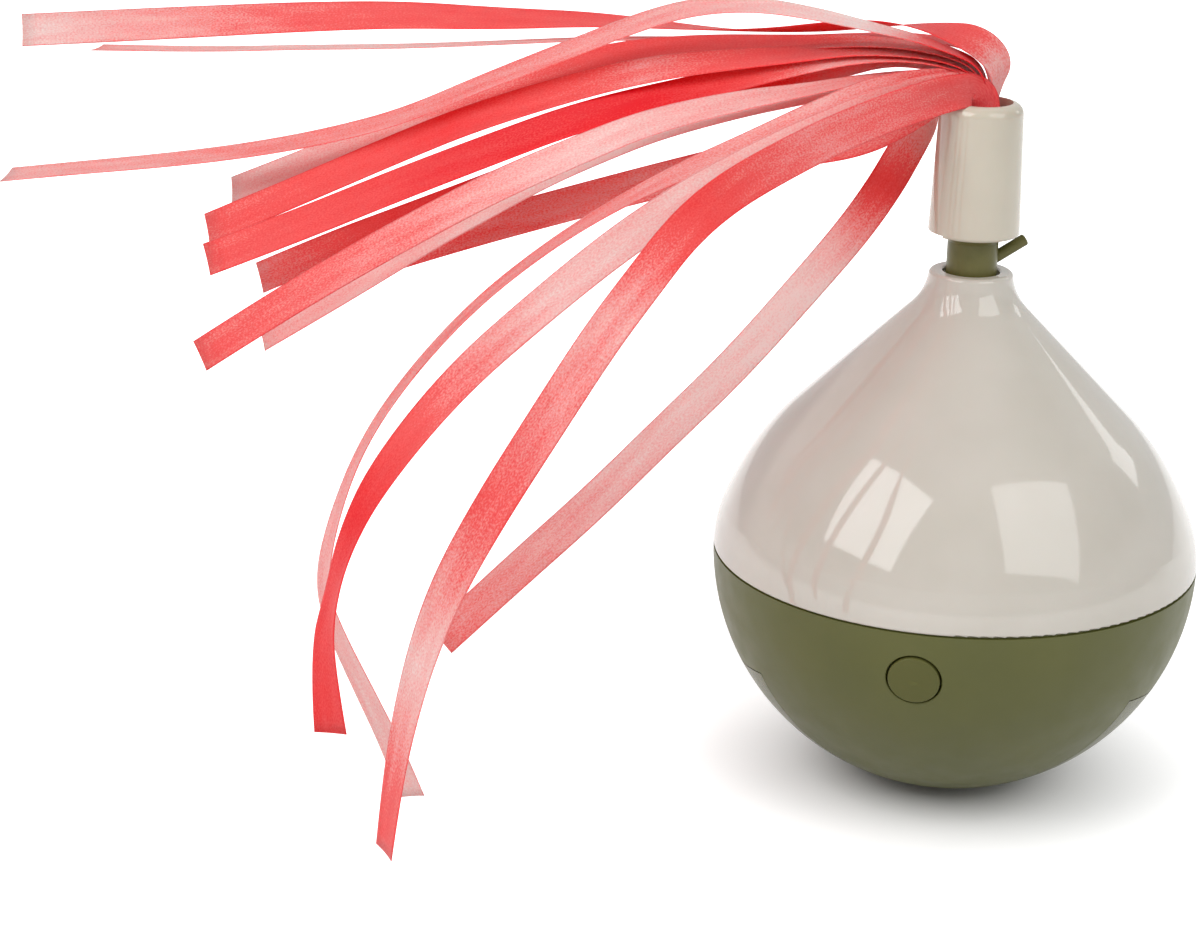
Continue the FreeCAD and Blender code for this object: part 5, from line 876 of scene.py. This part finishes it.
@dataclass
class Studio:
    """White sweep, lamps and the camera of the photograph."""

    camera_place: Point = (0.0, -0.47322, 0.21644)
    camera_heading: float = 7.735
    camera_pitch: float = -18.935
    camera_roll: float = 1.26
    focal_length: float = 83.47
    sensor_width: float = 36.0
    floor_half: float = 3.0
    floor_white: float = 0.78
    near_lift: float = 0.62
    far_lift: float = 0.6
    near_reach: tuple[float, float] = (14 * MM, 46 * MM)
    far_reach: tuple[float, float] = (58 * MM, 300 * MM)
    floor_shine: float = 0.7
    sweep_shine: float = 0.8
    ambient: float = 0.45
    room: float = 0.3
    back_from: float = 0.3
    back_to: float = 0.55
    low_from: float = 0.34
    low_to: float = 0.2

    def lamps(self) -> list[SoftBox]:
        """Return the studio's lamps: a large soft box on each side of the camera."""
        middle = (0.0, 0.0, 0.06)
        return [
            SoftBox("left_box", (-0.597, -0.522, 0.748), middle, 0.71, 0.67, 4.0),
            SoftBox("right_box", (0.638, -0.509, 0.72), middle, 0.695, 0.695, 2.3, -20.0),
            SoftBox("back_panel", (0.771, 0.587, 0.465), middle, 0.2, 0.2, 1.9),
        ]

    def aim_camera(self) -> None:
        """Put the camera where the photograph was taken from."""
        lens = bpy.data.cameras.new("camera")
        lens.sensor_fit = "HORIZONTAL"
        lens.sensor_width = self.sensor_width
        lens.lens = self.focal_length
        lens.clip_end = 20.0
        holder = bpy.data.objects.new("camera", lens)
        tilt = Euler((math.radians(90 + self.camera_pitch), 0.0, math.radians(self.camera_heading)))
        turn = tilt.to_matrix() @ Matrix.Rotation(math.radians(self.camera_roll), 3, "Z")
        holder.matrix_world = Matrix.Translation(self.camera_place) @ turn.to_4x4()
        bpy.context.scene.collection.objects.link(holder)
        bpy.context.scene.camera = holder

    def lay_floor(self) -> None:
        """Lay the white sweep under the toy."""
        sweep = bmesh.new()
        bmesh.ops.create_grid(sweep, x_segments=1, y_segments=1, size=self.floor_half)
        skin = bpy.data.meshes.new("floor")
        sweep.to_mesh(skin)
        sweep.free()
        skin.materials.append(self.floor_material())
        floor = bpy.data.objects.new("floor", skin)
        bpy.context.scene.collection.objects.link(floor)

    def floor_material(self) -> bpy.types.Material:
        """Mix white paper that stays white to the camera and keeps the toy's shadow.

        Returns:
            The material.
        """
        recipe = Recipe("floor_paper")
        grain = recipe.noise(6 * MM, 4.0)
        white = self.floor_white
        recipe.set(Base_Color=recipe.blend(grain, (white, white, white, 1.0), (0.82, 0.82, 0.82, 1.0)),
                   Roughness=0.9, Specular_IOR_Level=0.1)
        away = recipe.add("VectorMath")
        away.operation = "LENGTH"
        recipe.feed(away.inputs[0], recipe.place)
        near = recipe.spread(away.outputs["Value"], 0.0, self.near_lift, *self.near_reach)
        far = recipe.spread(away.outputs["Value"], 0.0, self.far_lift, *self.far_reach)
        recipe.set(Emission_Color=(1.0, 1.0, 1.0, 1.0),
                   Emission_Strength=recipe.math("MULTIPLY", self.seen(recipe),
                                                 recipe.math("ADD", near, far)))
        return recipe.material

    def seen(self, recipe: Recipe) -> bpy.types.NodeSocket:
        """Return 1 for the camera's rays, less for gloss and glass, and 0 for light on the toy."""
        path = recipe.add("LightPath")
        gloss = recipe.math("MAXIMUM", path.outputs["Is Glossy Ray"], path.outputs["Is Transmission Ray"])
        return recipe.math("MAXIMUM", path.outputs["Is Camera Ray"],
                           recipe.math("MULTIPLY", gloss, self.floor_shine))

    def light_world(self) -> None:
        """Light the toy softly, in front of a white sweep that ends in a darker room."""
        world = bpy.data.worlds.new("studio")
        world.use_nodes = True
        tree = world.node_tree
        tree.nodes.clear()

        def step(kind: str, operation: str | None = None, **sources: object) -> bpy.types.Node:
            """Add a node and feed it by the numbers of its inputs."""
            node = tree.nodes.new("ShaderNode" + kind)
            if operation:
                node.operation = operation
            for name, source in sources.items():
                socket = node.inputs[int(name[1:])]
                if isinstance(source, bpy.types.NodeSocket):
                    tree.links.new(source, socket)
                else:
                    socket.default_value = source
            return node

        path = step("LightPath")
        way = step("SeparateXYZ", _0=step("TexCoord").outputs["Generated"])
        level = step("Math", "SUBTRACT", _0=1.0, _1=step(
            "Math", "POWER", _0=step("Math", "ABSOLUTE", _0=way.outputs["Z"]).outputs[0], _1=2.0).outputs[0])
        reach = step("Math", "DIVIDE", _0=way.outputs["Y"],
                     _1=step("Math", "SQRT", _0=level.outputs[0]).outputs[0])
        behind = step("MapRange", _0=reach.outputs[0], _1=self.back_from, _2=self.back_to)
        low = step("MapRange", _0=way.outputs["Z"], _1=self.low_from, _2=self.low_to)
        sweep = step("Math", "MAXIMUM", _0=behind.outputs[0], _1=low.outputs[0])
        shine = step("MapRange", _0=sweep.outputs[0], _1=0.0, _2=1.0, _3=self.room, _4=self.sweep_shine)
        gloss = step("Math", "MAXIMUM", _0=path.outputs["Is Glossy Ray"],
                     _1=path.outputs["Is Transmission Ray"])
        soft = step("Background", _0=(1.0, 1.0, 1.0, 1.0), _1=self.ambient)
        mirrored = step("Background", _0=(1.0, 1.0, 1.0, 1.0), _1=shine.outputs[0])
        backdrop = step("Background", _0=(1.0, 1.0, 1.0, 1.0), _1=1.0)
        lit = step("MixShader", _0=gloss.outputs[0], _1=soft.outputs[0], _2=mirrored.outputs[0])
        whole = step("MixShader", _0=path.outputs["Is Camera Ray"], _1=lit.outputs[0],
                     _2=backdrop.outputs[0])
        step("OutputWorld", _0=whole.outputs[0])
        bpy.context.scene.world = world

    def build(self) -> None:
        """Set up the whole studio."""
        bpy.context.scene.view_settings.view_transform = "Standard"
        self.aim_camera()
        self.lay_floor()
        self.light_world()
        for lamp in self.lamps():
            lamp.hang()
        log.info("studio with %d lamps", len(self.lamps()))


def main() -> None:
    """Build and dress the toy, piece by piece, and set up the studio."""
    logging.basicConfig(level=logging.INFO, format="%(message)s")
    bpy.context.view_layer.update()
    Studio().build()
    RibbonBunch().build()
    for assembly in (Housing(), Spindle(), Drive(), Power(), Control()):
        assembly.dress()


if __name__ == "__main__":
    main()
